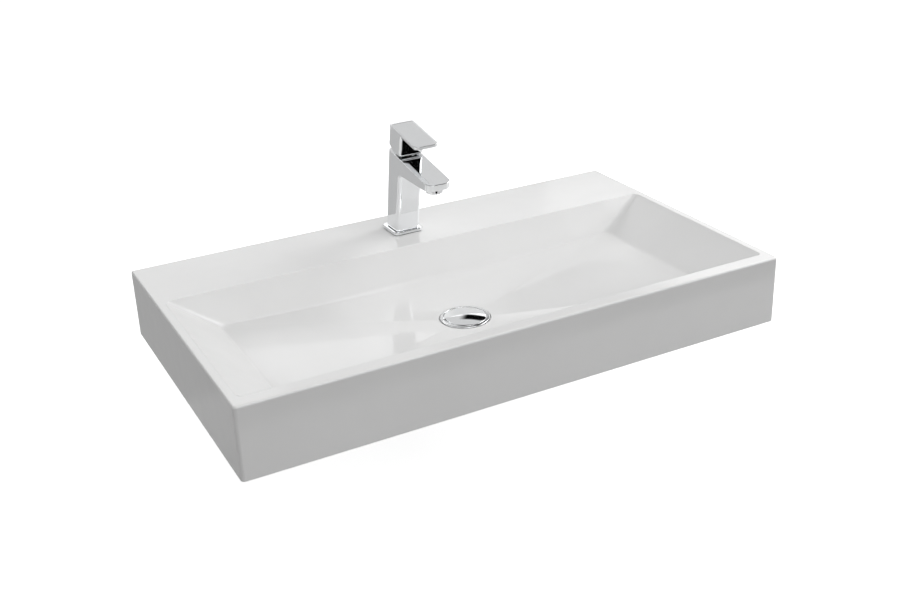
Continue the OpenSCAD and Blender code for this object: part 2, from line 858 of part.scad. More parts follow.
module clamp_nut() {
    color("goldenrod") at_tap() translate([0, -stud_front, clamp_nut_top - clamp_nut_h]) difference() {
        hexagon(clamp_nut_af, clamp_nut_h);
        translate([0, 0, -over]) cylinder(d = stud_d + 2 * running, h = clamp_nut_h + 2 * over);
    }
}

module waste_flange() {
    edge = 0.8;
    dish_slope = 0.6;
    color("silver") at_waste() {
        rotate_extrude() polygon([
            [tail_bore_r, -tail_l],
            [tail_r, -tail_l],
            [tail_r, groove_top - groove_w],
            [tail_r - groove_depth, groove_top - groove_w],
            [tail_r - groove_depth, groove_top],
            [tail_r, groove_top],
            [tail_r, collar_low],
            [collar_r, collar_low],
            [collar_r, flange_low],
            [flange_d / 2, flange_low],
            [flange_d / 2, flange_top - edge],
            [flange_d / 2 - edge, flange_top],
            [lip_r, flange_top],
            [lip_r, cap_low - gap],
            [lip_r - dish_slope, dish_z],
            [collar_r - dish_floor_t, dish_z],
            [tail_bore_r, throat_z]
        ]);
        difference() {
            union() {
                translate([0, 0, spider_z]) cylinder(d = hub_d, h = spider_t);
                for (turn = [90, 210, 330]) {
                    rotate([0, 0, turn]) translate([0, -spider_w / 2, spider_z])
                        cube([tail_bore_r + tail_wall / 2, spider_w, spider_t]);
                }
            }
            translate([0, 0, spider_z - over])
                cylinder(d = sleeve_d + 2 * running, h = spider_t + 2 * over);
        }
    }
}

module waste_top_seal() {
    set_in = 1.5;
    color("dimgray") at_waste() translate([0, 0, -flange_recess])
        tube(flange_d - 2 * set_in, 2 * collar_r + 2 * seat_play, flange_seal_t);
}

module waste_cap() {
    dome_r = (cap_d * cap_d / 4 + cap_dome * cap_dome) / (2 * cap_dome);
    overlap = 0.5;
    color("silver") at_waste() {
        rotate_extrude() intersection() {
            translate([0, cap_low]) square([cap_d / 2, cap_edge_h + cap_dome]);
            translate([0, flange_top + cap_dome - dome_r]) circle(r = dome_r, $fn = 720);
        }
        translate([0, 0, cap_boss_low]) cylinder(d = cap_boss_d, h = cap_low - cap_boss_low + overlap);
    }
}

module waste_cap_seal() {
    set_in = 4;
    seal_w = 3;
    seal_d = cap_d - 2 * set_in;
    seal_t = cap_low - dish_z - gap;
    color("black") at_waste() translate([0, 0, cap_low - seal_t])
        tube(seal_d, seal_d - 2 * seal_w, seal_t);
}

module plug_stem() {
    color("goldenrod") at_waste() translate([0, 0, sleeve_low + plug_travel + gap])
        cylinder(d = stem_d, h = cap_boss_low - sleeve_low - plug_travel - gap);
}

module click_sleeve() {
    color("goldenrod") at_waste() difference() {
        union() {
            translate([0, 0, sleeve_low]) cylinder(d = sleeve_d, h = sleeve_top - sleeve_low);
            translate([0, 0, spider_z + spider_t]) cylinder(d = hub_d, h = sleeve_collar_t);
        }
        translate([0, 0, sleeve_low + sleeve_floor_t])
            cylinder(d = stem_d + 2 * running, h = sleeve_top - sleeve_low);
    }
}

// Round wire wound round the sleeve, from the hub to the boss of the cap
module click_spring() {
    wire_r = 0.6;
    coil_r = sleeve_d / 2 + gap + wire_r;
    low = spider_z + spider_t + sleeve_collar_t + wire_r;
    high = cap_boss_low - gap - wire_r;
    turns = 5;
    rings = 80;
    sides = 8;
    points = [
        for (i = [0:rings], j = [0:sides - 1])
        let (
            a = 360 * turns * i / rings,
            b = 360 * j / sides,
            r = coil_r + wire_r * cos(b)
        )
        [r * cos(a), r * sin(a), low + (high - low) * i / rings + wire_r * sin(b)]
    ];
    skin = [
        for (i = [0:rings - 1], j = [0:sides - 1])
        let (
            k = (j + 1) % sides,
            near = i * sides,
            far = (i + 1) * sides
        )
        each [[near + j, near + k, far + k], [near + j, far + k, far + j]]
    ];
    start = [[for (j = [0:sides - 1]) sides - 1 - j]];
    end = [[for (j = [0:sides - 1]) rings * sides + j]];
    color("gray") at_waste() polyhedron(points = points, faces = concat(start, skin, end));
}

module waste_under_seal() {
    lip_h = 1.5;
    low_rim = 4;
    high_rim = 7;
    color("black") at_waste() difference() {
        union() {
            translate([0, 0, -shell_t]) cylinder(d = waste_hole_d - 2 * seat_play, h = lip_h);
            translate([0, 0, -shell_t - under_seal_t])
                cylinder(d1 = waste_hole_d + 2 * low_rim, d2 = waste_hole_d + 2 * high_rim, h = under_seal_t);
        }
        translate([0, 0, -shell_t - under_seal_t - over])
            cylinder(d = tail_d + 2 * seat_play, h = under_seal_t + lip_h + 2 * over);
    }
}

module waste_washer() {
    rim = 6;
    color("lightgray") at_waste() translate([0, 0, waste_nut_low + waste_nut_h])
        tube(waste_hole_d + 2 * rim, tail_d + 2 * seat_play, washer_t);
}

module waste_nut() {
    color("silver") at_waste() translate([0, 0, waste_nut_low]) difference() {
        hexagon(waste_nut_af, waste_nut_h);
        translate([0, 0, -over]) cylinder(d = tail_d + 2 * running, h = waste_nut_h + 2 * over);
    }
}

basin();
tap_base_plate();
tap_base_gasket();
tap_body();
cartridge_seals();
cartridge_base();
fixed_disc();
moving_disc();
disc_carrier();
cartridge_housing();
housing_seal();
spindle_holder();
spindle_pin();
spindle();
cartridge_nut();
lever();
lever_screw();
indicator_cap();
aerator_ring();
aerator_insert();
aerator_seal();
clamp_stud();
clamp_seal();
clamp_plate();
clamp_nut();
waste_flange();
waste_top_seal();
waste_cap();
waste_cap_seal();
plug_stem();
click_sleeve();
click_spring();
waste_under_seal();
waste_washer();
waste_nut();
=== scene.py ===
import json
import math
import bmesh
import bpy
from mathutils import Matrix, Vector


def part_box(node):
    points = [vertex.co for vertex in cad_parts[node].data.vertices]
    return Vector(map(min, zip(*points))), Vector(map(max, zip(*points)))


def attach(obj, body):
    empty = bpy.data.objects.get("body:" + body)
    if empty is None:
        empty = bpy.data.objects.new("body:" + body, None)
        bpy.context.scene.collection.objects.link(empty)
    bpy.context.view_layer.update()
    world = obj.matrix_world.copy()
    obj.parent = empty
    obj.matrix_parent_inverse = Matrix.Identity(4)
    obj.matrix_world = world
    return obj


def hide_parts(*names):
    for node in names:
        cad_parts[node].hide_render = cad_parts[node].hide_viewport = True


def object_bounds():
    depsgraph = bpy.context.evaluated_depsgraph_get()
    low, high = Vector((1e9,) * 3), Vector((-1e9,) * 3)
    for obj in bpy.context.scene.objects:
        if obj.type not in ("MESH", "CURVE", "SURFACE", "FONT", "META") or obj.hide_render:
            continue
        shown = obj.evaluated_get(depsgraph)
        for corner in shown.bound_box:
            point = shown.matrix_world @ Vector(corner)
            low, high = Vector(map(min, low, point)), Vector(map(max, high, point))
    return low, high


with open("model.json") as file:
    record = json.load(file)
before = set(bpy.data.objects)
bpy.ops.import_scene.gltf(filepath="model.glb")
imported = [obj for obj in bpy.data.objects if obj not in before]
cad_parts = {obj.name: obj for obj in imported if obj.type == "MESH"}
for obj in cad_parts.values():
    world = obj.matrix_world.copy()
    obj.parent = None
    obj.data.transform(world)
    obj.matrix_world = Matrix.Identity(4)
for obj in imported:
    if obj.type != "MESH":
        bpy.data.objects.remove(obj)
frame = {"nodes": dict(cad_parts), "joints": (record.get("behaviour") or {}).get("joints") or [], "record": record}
cadLow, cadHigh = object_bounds()
cadMiddle = (cadLow + cadHigh) / 2
mm = 0.001
print("frame loaded:", len(frame["nodes"]), "nodes")


# camera

cameraSet = {
    "azimuth": -27.896,
    "elevation": 23.573,
    "roll": -1.815,
    "distance": 1.799,
    "aim": (0.0588, 0.0843, -0.0630),   # from the middle of the object's box
    "lens": 47.6,
    "shift": (-0.0127, -0.0364),
    "sensor": 36,
    "clip": (0.05, 50),
}


def placeCamera():
    az = math.radians(cameraSet["azimuth"])
    el = math.radians(cameraSet["elevation"])
    roll = math.radians(cameraSet["roll"])
    back = Vector((math.sin(az) * math.cos(el), -math.cos(az) * math.cos(el), math.sin(el)))
    side = (-back).cross(Vector((0, 0, 1))).normalized()
    down = (-back).cross(side)
    right = side * math.cos(roll) - down * math.sin(roll)
    up = -(side * math.sin(roll) + down * math.cos(roll))
    data = bpy.data.cameras.new("studioCamera")
    data.sensor_width = cameraSet["sensor"]
    data.lens = cameraSet["lens"]
    data.shift_x, data.shift_y = cameraSet["shift"]
    data.clip_start, data.clip_end = cameraSet["clip"]
    camera = bpy.data.objects.new("studioCamera", data)
    bpy.context.collection.objects.link(camera)
    turn = Matrix((right, up, back)).transposed().to_4x4()
    spot = cadMiddle + Vector(cameraSet["aim"]) + back * cameraSet["distance"]
    camera.matrix_world = Matrix.Translation(spot) @ turn
    bpy.context.scene.camera = camera


placeCamera()
print("camera placed")


# places of the main groups, read from the frame

placeSet = {
    "inletBack": 5,        # the hose inlets lie this far behind the tap's middle
    "bowlDrop": 70,
    "spoutReach": 113,
    "spoutHeight": 100.5,
}

mounts = {m["name"]: m for m in frame["record"]["mounts"]}
joints = {j["name"]: j for j in frame["joints"]}
inlet = Vector(mounts["hot_inlet"]["pos_m"])
outlet = Vector(mounts["waste_outlet"]["pos_m"])
upAxis = Vector(joints["lever_swivel"]["axis"])
lean = math.atan2(-upAxis.y, upAxis.z)
sinLean = math.sin(lean)
cosLean = math.cos(lean)
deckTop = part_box("basin")[1].z
tapSpot = Vector((0, inlet.y - placeSet["inletBack"] * mm, deckTop))
wasteSpot = Vector((0, outlet.y, deckTop - placeSet["bowlDrop"] * mm))
aeratorSpot = tapSpot + Vector((0, -placeSet["spoutReach"], placeSet["spoutHeight"])) * mm


def placeAt(spot, turn=0):
    # from a piece's own millimetres to its place on the object
    return Matrix.Translation(spot) @ Matrix.Rotation(turn, 4, "X") @ Matrix.Scale(mm, 4)


basinPlace = placeAt((0, 0, deckTop))
levelPlace = placeAt(tapSpot)
leanPlace = placeAt(tapSpot, lean)
wastePlace = placeAt(wasteSpot)
aeratorPlace = placeAt(aeratorSpot)


# helpers for meshes, all worked in millimetres and put in place at the end

mergeGap = 0.004         # points closer than this become one
spinGap = 0.001
flatLimit = 38           # faces that meet at a smaller angle, in degrees, are shaded as one


def addRow(bm, points, closed=True):
    verts = [bm.verts.new(p) for p in points]
    ends = verts[1:] + verts[:1] if closed else verts[1:]
    return verts, [bm.edges.new(pair) for pair in zip(verts, ends)]


def drawRows(bm, rows, closed=True, start=None):
    # each row is extruded from the one before it, point to point, so no band can twist
    made = [start or addRow(bm, rows[0], closed)]
    for points in rows[0 if start else 1:]:
        verts, edges = made[-1]
        drawn = bmesh.ops.extrude_edge_only(bm, edges=edges)["geom"]
        fresh = {g for g in drawn if isinstance(g, bmesh.types.BMVert)}
        above = []
        for vert, point in zip(verts, points):
            new = next(e.other_vert(vert) for e in vert.link_edges if e.other_vert(vert) in fresh)
            new.co = point
            above.append(new)
        ends = above[1:] + above[:1] if closed else above[1:]
        made.append((above, [bm.edges.get(pair) for pair in zip(above, ends)]))
    return made


def fillFlat(bm, edges):
    bmesh.ops.triangle_fill(bm, use_beauty=True, use_dissolve=False, edges=edges)


def addFace(bm, points):
    bm.faces.new([bm.verts.new(p) for p in points])


def joinPart(bm, part):
    # adds a part that has its own bmesh
    mesh = bpy.data.meshes.new("part")
    part.to_mesh(mesh)
    part.free()
    bm.from_mesh(mesh)
    bpy.data.meshes.remove(mesh)


def ease(start, end, share):
    # from start to end, slow at both ends
    t = max(0.0, min(1.0, share))
    return start + (end - start) * t * t * (3 - 2 * t)


def steadyNormals(mesh):
    # each corner's normal follows the large faces round it, so that flats stay flat
    least = math.cos(math.radians(flatLimit))
    normals = [p.normal.copy() for p in mesh.polygons]
    sizes = [p.area / mm ** 2 for p in mesh.polygons]
    around = [[] for _ in mesh.vertices]
    for p in mesh.polygons:
        for v in p.vertices:
            around[v].append(p.index)
    custom = []
    for p in mesh.polygons:
        p.use_smooth = True
        own = normals[p.index]
        for v in p.vertices:
            total = Vector()
            for k in around[v]:
                if normals[k].dot(own) > least:
                    total += normals[k] * sizes[k] ** 2
            custom.append(total.normalized() if total.length > 0 else own)
    mesh.normals_split_custom_set(custom)


def finishPiece(bm, name, place, material, body, slot, *nodes):
    bmesh.ops.remove_doubles(bm, verts=bm.verts, dist=mergeGap)
    bmesh.ops.recalc_face_normals(bm, faces=bm.faces)
    bmesh.ops.transform(bm, matrix=place, verts=bm.verts)
    mesh = bpy.data.meshes.new(name)
    bm.to_mesh(mesh)
    bm.free()
    mesh.materials.append(material)
    steadyNormals(mesh)
    piece = bpy.data.objects.new(name, mesh)
    bpy.context.collection.objects.link(piece)
    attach(piece, body)
    if nodes:
        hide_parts(*nodes)
    print("made", name, len(mesh.polygons), "faces")


def circlePoints(radius, z, middle=(0, 0), count=48):
    step = 2 * math.pi / count
    return [
        (middle[0] + radius * math.cos(i * step), middle[1] + radius * math.sin(i * step), z)
        for i in range(count)
    ]


def cornerPoints(cx, cy, radius, start, steps):
    # a quarter of a circle: its points and the directions outward
    points = []
    for i in range(steps + 1):
        a = math.radians(start + 90 * i / steps)
        points.append((cx + radius * math.cos(a), cy + radius * math.sin(a), math.cos(a), math.sin(a)))
    return points


def planOutline(halfWidth, front, frontRound, back, backRound, steps):
    # points and outward directions round a plan with its own radius at each end
    points = []
    for side, y, r, start in (
        (1, front + frontRound, frontRound, -90), (1, back - backRound, backRound, 0),
        (-1, back - backRound, backRound, 90), (-1, front + frontRound, frontRound, 180),
    ):
        points += cornerPoints(side * (halfWidth - r), y, r, start, steps)
    return points


def insetRow(outline, inset, z):
    return [(x - nx * inset, y - ny * inset, z) for x, y, nx, ny in outline]


def roundSteps(radius, steps):
    # how far in and how far down each line of a rounded edge lies, from its side to its flat
    turns = [math.radians(90 * k / steps) for k in range(steps + 1)]
    return [(radius * (1 - math.cos(a)), radius * (1 - math.sin(a))) for a in turns]


def lathe(bm, profile, steps=96, closed=True):
    # profile is a list of (radius, height), turned about the upright axis
    verts = [bm.verts.new((r, 0, z)) for r, z in profile]
    edges = [bm.edges.new(pair) for pair in zip(verts, verts[1:])]
    if closed:
        edges.append(bm.edges.new((verts[-1], verts[0])))
    bmesh.ops.spin(
        bm, geom=verts + edges, axis=(0, 0, 1), cent=(0, 0, 0),
        angle=2 * math.pi, steps=steps, use_merge=True,
    )
    bmesh.ops.remove_doubles(bm, verts=bm.verts, dist=spinGap)


def cornerRound(radius, z, side, start, end, steps):
    # part of a lathe profile: a rounded corner from angle start to end, in degrees
    points = []
    for i in range(steps + 1):
        a = math.radians(start + (end - start) * i / steps)
        points.append((radius + side * math.cos(a), z + side * math.sin(a)))
    return points


# materials

noiseSpan = (0.3, 0.7)   # the part of a noise's range that it really uses


def newMaterial(name):
    material = bpy.data.materials.new(name)
    material.use_nodes = True
    nodes = material.node_tree.nodes
    return material, nodes, material.node_tree.links, nodes["Principled BSDF"]


def noiseNode(nodes, links, scale, detail, roughness=0.5, stretch=(1, 1, 1)):
    coord = nodes.new("ShaderNodeTexCoord")
    mapping = nodes.new("ShaderNodeMapping")
    mapping.inputs["Scale"].default_value = stretch
    noise = nodes.new("ShaderNodeTexNoise")
    noise.inputs["Scale"].default_value = scale
    noise.inputs["Detail"].default_value = detail
    noise.inputs["Roughness"].default_value = roughness
    links.new(coord.outputs["Object"], mapping.inputs["Vector"])
    links.new(mapping.outputs["Vector"], noise.inputs["Vector"])
    return noise


def rampNode(nodes, links, source, *colors):
    ramp = nodes.new("ShaderNodeValToRGB")
    for mark, position, color in zip(ramp.color_ramp.elements, noiseSpan, colors):
        mark.position = position
        mark.color = (*color, 1)
    links.new(source, ramp.inputs["Fac"])
    return ramp.outputs["Color"]


def rangeNode(nodes, links, source, low, high):
    reach = nodes.new("ShaderNodeMapRange")
    reach.inputs["From Min"].default_value = noiseSpan[0]
    reach.inputs["From Max"].default_value = noiseSpan[1]
    reach.inputs["To Min"].default_value = low
    reach.inputs["To Max"].default_value = high
    links.new(source, reach.inputs["Value"])
    return reach.outputs["Result"]


def bumpNode(nodes, links, height, strength, distance, below=None):
    bump = nodes.new("ShaderNodeBump")
    bump.inputs["Strength"].default_value = strength
    bump.inputs["Distance"].default_value = distance
    links.new(height, bump.inputs["Height"])
    if below is not None:
        links.new(below, bump.inputs["Normal"])
    return bump.outputs["Normal"]


glazeSet = {
    "colors": ((0.85, 0.85, 0.846), (0.875, 0.875, 0.872)),
    "gloss": (0.05, 0.11),
    "ior": 1.48,
    # scale and detail of each noise
    "clouds": (9, 3),
    "smear": (34, 4, 0.6),
    "wave": (28, 1),
    "peel": (260, 2),
    # strength and depth in metres
    "waveBump": (0.10, 0.002),
    "peelBump": (0.05, 0.0002),
}


def makeGlaze():
    facts = glazeSet
    material, nodes, links, shader = newMaterial("glazedCeramic")
    noises = [noiseNode(nodes, links, *facts[part]) for part in ("clouds", "smear", "wave", "peel")]
    clouds, smear, wave, peel = [noise.outputs["Fac"] for noise in noises]
    links.new(rampNode(nodes, links, clouds, *facts["colors"]), shader.inputs["Base Color"])
    links.new(rangeNode(nodes, links, smear, *facts["gloss"]), shader.inputs["Roughness"])
    soft = bumpNode(nodes, links, wave, *facts["waveBump"])
    links.new(bumpNode(nodes, links, peel, *facts["peelBump"], soft), shader.inputs["Normal"])
    shader.inputs["IOR"].default_value = facts["ior"]
    return material


metalHaze = (30, 3, 0.6)     # scale, detail and roughness of the haze over any metal

# grain is scale, detail, roughness and stretch; bump is strength and depth in metres
metalSets = {
    "chrome": {
        "colors": ((0.89, 0.90, 0.91), (0.92, 0.93, 0.94)),
        "rough": (0.03, 0.06),
        "grain": (45, 3, 0.55, (1, 1, 1)),
        "bump": (0.04, 0.0004),
    },
    "turnedBrass": {
        "colors": ((0.62, 0.47, 0.22), (0.76, 0.60, 0.32)),
        "rough": (0.20, 0.34),
        "grain": (70, 4, 0.55, (1, 1, 22)),
        "bump": (0.22, 0.0002),
    },
    "platedBrass": {
        "colors": ((0.30, 0.29, 0.27), (0.42, 0.41, 0.38)),
        "rough": (0.24, 0.36),
        "grain": (70, 4, 0.55, (1, 1, 22)),
        "bump": (0.2, 0.0002),
    },
    "brushedSteel": {
        "colors": ((0.50, 0.51, 0.52), (0.64, 0.65, 0.66)),
        "rough": (0.24, 0.38),
        "grain": (90, 5, 0.55, (1, 14, 1)),
        "bump": (0.18, 0.0002),
    },
}


def makeMetal(name):
    facts = metalSets[name]
    material, nodes, links, shader = newMaterial(name)
    grain = noiseNode(nodes, links, *facts["grain"])
    haze = noiseNode(nodes, links, *metalHaze)
    links.new(rampNode(nodes, links, haze.outputs["Fac"], *facts["colors"]),
              shader.inputs["Base Color"])
    links.new(rangeNode(nodes, links, grain.outputs["Fac"], *facts["rough"]),
              shader.inputs["Roughness"])
    links.new(bumpNode(nodes, links, grain.outputs["Fac"], *facts["bump"]), shader.inputs["Normal"])
    shader.inputs["Metallic"].default_value = 1
    return material


cloudShare = 12          # a cloud of colour is this many grains wide

plainSets = {
    "blackRubber": {
        "colors": ((0.012, 0.012, 0.013), (0.035, 0.035, 0.036)),
        "rough": (0.55, 0.78),
        "scale": 420,
        "bump": (0.30, 0.0003),
        "specular": 0.35,
    },
    "whitePlastic": {
        "colors": ((0.66, 0.66, 0.64), (0.74, 0.74, 0.72)),
        "rough": (0.32, 0.48),
        "scale": 300,
        "bump": (0.12, 0.0002),
        "specular": 0.45,
    },
    "lappedCeramic": {
        "colors": ((0.72, 0.70, 0.66), (0.80, 0.78, 0.74)),
        "rough": (0.18, 0.30),
        "scale": 500,
        "bump": (0.06, 0.0001),
        "specular": 0.5,
    },
}


def makePlain(name):
    facts = plainSets[name]
    material, nodes, links, shader = newMaterial(name)
    cloud = noiseNode(nodes, links, facts["scale"] / cloudShare, 3)
    grain = noiseNode(nodes, links, facts["scale"], 4, 0.6)
    links.new(rampNode(nodes, links, cloud.outputs["Fac"], *facts["colors"]),
              shader.inputs["Base Color"])
    links.new(rangeNode(nodes, links, grain.outputs["Fac"], *facts["rough"]),
              shader.inputs["Roughness"])
    links.new(bumpNode(nodes, links, grain.outputs["Fac"], *facts["bump"]), shader.inputs["Normal"])
    shader.inputs["Specular IOR Level"].default_value = facts["specular"]
    return material


glaze = makeGlaze()
chrome = makeMetal("chrome")
turnedBrass = makeMetal("turnedBrass")
platedBrass = makeMetal("platedBrass")
brushedSteel = makeMetal("brushedSteel")
blackRubber = makePlain("blackRubber")
whitePlastic = makePlain("whitePlastic")
lappedCeramic = makePlain("lappedCeramic")
print("materials made")

# the basin

basinSet = {
    "halfWidth": 400,
    "front": -450,
    "back": 0,
    "height": 100,
    "corners": (5, 3),                 # at the front and at the back
    "leastCorner": 0.6,
    "topEdge": (3, 0.3),               # its round, and the share of it at the back
    "bottomEdge": 1.2,
    "wall": 11,
    "wallCorner": 2.5,
    "rim": (388, -430, -130, 8),       # half width, front, back, corner radius
    "rimEdge": 2.6,
    "foot": (320.2, -412, -148, 14),
    "footDepth": (46.4, 7.4),          # below the rim at the corners, and how much more midway
    "footRound": 14,
    "flat": (38.5, 30),                # radius of the flat round the waste, and of the bend into it
    "deckUnder": 13,
    "shellTop": (388.4, -437.2, -122.8, 18),
    "shellFoot": (323.8, -420, -140, 24),
    "shellFootDepth": (57.2, 6.8),
    "shellRound": 25,
    "shell": 11,
    "recess": (37, 3),
    "recessEdge": ((0.5, 0), (0.1, 0.3), (0, 0.6)),
    "wasteHole": (23, 0.4),            # radius and softened edge, as for the tap hole
    "tapHole": (17.5, 0.6),
    "tapBoss": (37, 17),
    "boltSpacing": 280,
    "boltHole": 7,
    "boltPad": (22, 18),
    "castEdge": 1.5,
    "guide": 20,
    "mostReach": 0.48,                 # the most of a side that a round may take up
    "leastFlat": 300,
    "cornerSteps": 8,
    "sideSteps": (14, 28),
    "slopeSteps": (5, 4, 7, 8, 3),     # rim, wall, foot, floor and the bend into the flat
}


def planLoop(halfWidth, front, back, frontRound, backRound=None):
    # corner arcs and straight sides, always with the same count of points
    facts = basinSet
    n = facts["cornerSteps"] + 1
    backRound = frontRound if backRound is None else backRound
    outline = planOutline(halfWidth, front, frontRound, back, backRound, n - 1)
    corners = [Vector(point[:2]) for point in outline]
    loop = []
    for k in range(4):
        arc = corners[k * n:(k + 1) * n]
        nextCorner = corners[(k + 1) * n % len(corners)]
        steps = facts["sideSteps"][k % 2]
        loop += arc + [arc[-1].lerp(nextCorner, i / steps) for i in range(1, steps)]
    return loop


def footHeight(x, plan, depth, dip):
    # the foot of the front and back walls dips towards the middle
    t = min(1.0, abs(x) / (plan[0] - plan[3]))
    return -depth - dip * (1 - t * t)


def roundBetween(a, corner, b, radius, steps):
    # points of an arc that rounds the corner between a and b
    toA = (a - corner).normalized()
    toB = (b - corner).normalized()
    half = toA.angle(toB) / 2
    most = basinSet["mostReach"] * min((a - corner).length, (b - corner).length)
    reach = min(radius / math.tan(half), most)
    size = reach * math.tan(half)
    middle = corner + (toA + toB).normalized() * (reach / math.cos(half))
    start = corner + toA * reach - middle
    end = corner + toB * reach - middle
    turn = start.angle(end)
    points = []
    for i in range(steps + 1):
        fromStart = math.sin((1 - i / steps) * turn)
        fromEnd = math.sin(i / steps * turn)
        points.append(middle + (start * fromStart + end * fromEnd).normalized() * size)
    return points


def slopeRings(top, topZ, foot, depth, flatZ, edge, footRound):
    # rings down a sloping wall, over its rounded foot and in to the flat round the waste
    facts = basinSet
    wasteY = wasteSpot.y / mm
    flatRadius, flatRound = facts["flat"]
    rimSteps, wallSteps, footSteps, floorSteps, flatSteps = facts["slopeSteps"]
    columns = []
    for (x, y), (footX, footY) in zip(planLoop(*top), planLoop(*foot)):
        high = Vector((x, y, topZ))
        low = Vector((footX, footY, footHeight(footX, foot, *depth)))
        turn = math.atan2(footY - wasteY, footX)
        away = Vector((math.cos(turn), math.sin(turn), 0))
        flatEdge = Vector((0, wasteY, flatZ)) + away * flatRadius
        column = [high]
        if edge:
            outward = Vector((x - footX, y - footY, 0)).normalized()
            column = roundBetween(high + outward * facts["guide"], high, low, edge, rimSteps)
        column += [high.lerp(low, k / wallSteps) for k in range(1, wallSteps)]
        column += roundBetween(high, low, flatEdge, footRound, footSteps)
        column += [low.lerp(flatEdge, k / floorSteps) for k in range(1, floorSteps)]
        column += roundBetween(low, flatEdge, flatEdge - away * facts["guide"], flatRound, flatSteps)
        columns.append(column)
    return [list(ring) for ring in zip(*columns)]


def basinWalls():
    # plans and heights round the top edge, down the walls, under and up inside
    facts = basinSet
    halfWidth, front, back = facts["halfWidth"], facts["front"], facts["back"]
    low = -facts["height"]
    corner, rear = facts["corners"]
    least = facts["leastCorner"]
    edge, backShare = facts["topEdge"]
    plans = []
    for down, inset in roundSteps(edge, 6):
        rounds = (max(least, corner - inset), max(least, rear - inset))
        plans.append((halfWidth - inset, front + inset, back - inset * backShare, *rounds, -down))
    for inset, up in roundSteps(facts["bottomEdge"], 3):
        plans.append((halfWidth - inset, front + inset, back - inset, corner, rear, low + up))
    wall, wallCorner = facts["wall"], facts["wallCorner"]
    inner = (halfWidth - wall, front + wall, back - wall, wallCorner, wallCorner)
    return plans + [(*inner, low), (*inner, -facts["deckUnder"])]


def backFaces(bm, y):
    # the large flat faces of the back wall that lie at y, clear of its corners
    facts = basinSet
    inside = facts["halfWidth"] - facts["wall"] - facts["wallCorner"]
    found = []
    for face in bm.faces:
        middle = face.calc_center_median()
        inPlane = abs(middle.y - y) < mergeGap and abs(face.normal.y) > 0.99
        if inPlane and abs(middle.x) < inside and face.calc_area() > facts["leastFlat"]:
            found.append(face)
    return found


def makeBasin():
    facts = basinSet
    bm = bmesh.new()
    wasteY = wasteSpot.y / mm
    dip = -placeSet["bowlDrop"]
    deckUnder, shell, cast = facts["deckUnder"], facts["shell"], facts["castEdge"]

    # the bowl from its rim to the waste hole, and the shell's underside back up to the deck
    bowl = slopeRings(facts["rim"], 0, facts["foot"], facts["footDepth"], dip, facts["rimEdge"],
                      facts["footRound"])
    under = slopeRings(facts["shellTop"], -deckUnder, facts["shellFoot"], facts["shellFootDepth"],
                       dip - shell, 0, facts["shellRound"])
    recess, recessDepth = facts["recess"]
    hole, holeEdge = facts["wasteHole"]
    seat = dip - recessDepth
    waste = [(recess + out, dip - down) for out, down in facts["recessEdge"]]
    waste += [(recess, seat), (hole + holeEdge, seat), (hole, seat - holeEdge), (hole, dip - shell)]
    angles = [math.atan2(y - wasteY, x) for x, y in planLoop(*facts["foot"])]
    for r, z in waste:
        bowl.append([(r * math.cos(a), wasteY + r * math.sin(a), z) for a in angles])
    rings = drawRows(bm, bowl + under[::-1])
    walls = drawRows(bm, [[(x, y, z) for x, y in planLoop(*plan)] for *plan, z in basinWalls()])

    # the deck, with the tap hole, and the boss under it
    boss, bossDepth = facts["tapBoss"]
    hole, holeEdge = facts["tapHole"]
    profile = [
        (hole + holeEdge, 0), (hole, -holeEdge), (hole, -bossDepth), (boss - cast, -bossDepth),
        (boss, -bossDepth + cast), (boss, -deckUnder),
    ]
    tapHole = drawRows(bm, [circlePoints(r, z, (0, tapSpot.y / mm), 64) for r, z in profile])
    fillFlat(bm, rings[0][1] + walls[0][1] + tapHole[0][1])
    fillFlat(bm, rings[-1][1] + walls[-1][1] + tapHole[-1][1])

    # the two wall bolt holes, each with a pad inside the back wall
    back, bolt = facts["back"], facts["boltHole"]
    pad, padDepth = facts["boltPad"]
    spots = (-facts["boltSpacing"] / 2, facts["boltSpacing"] / 2)

    def boltRing(x, y, radius):
        return [(x + px, y, pz - deckTop / mm) for px, pz, _ in circlePoints(radius, 0)]

    for y, radius in ((back, bolt), (back - facts["wall"], pad)):
        # the wall's flat faces give way to new ones round the holes
        faces = backFaces(bm, y)
        border = [e for f in faces for e in f.edges if sum(g in faces for g in e.link_faces) == 1]
        bmesh.ops.delete(bm, geom=faces, context="FACES")
        seats = [addRow(bm, boltRing(x, y, radius)) for x in spots]
        fillFlat(bm, [e for e in border if e.is_valid] + seats[0][1] + seats[1][1])
    padFace = back - padDepth
    shape = [(pad, padFace + cast), (pad - cast, padFace), (bolt, padFace), (bolt, back)]
    for x, start in zip(spots, seats):
        drawRows(bm, [boltRing(x, y, r) for r, y in shape], start=start)
    finishPiece(bm, "basinCasting", basinPlace, glaze, "fixed_set", "glazed_ceramic", "basin")


makeBasin()


# the tap's base plate

plateSet = {
    "size": (48, 49),
    "middle": 0,
    "corner": 7,
    "low": 1,
    "high": 5.5,
    "edge": 1.1,
    "lowEdge": 0.3,
    "bore": 15.1,
    "steps": 8,
}


def plateRow(facts, inset, z):
    width, depth = facts["size"]
    middle, corner = facts["middle"], facts["corner"]
    outline = planOutline(width / 2, middle - depth / 2, corner, middle + depth / 2, corner, facts["steps"])
    return insetRow(outline, inset, z)


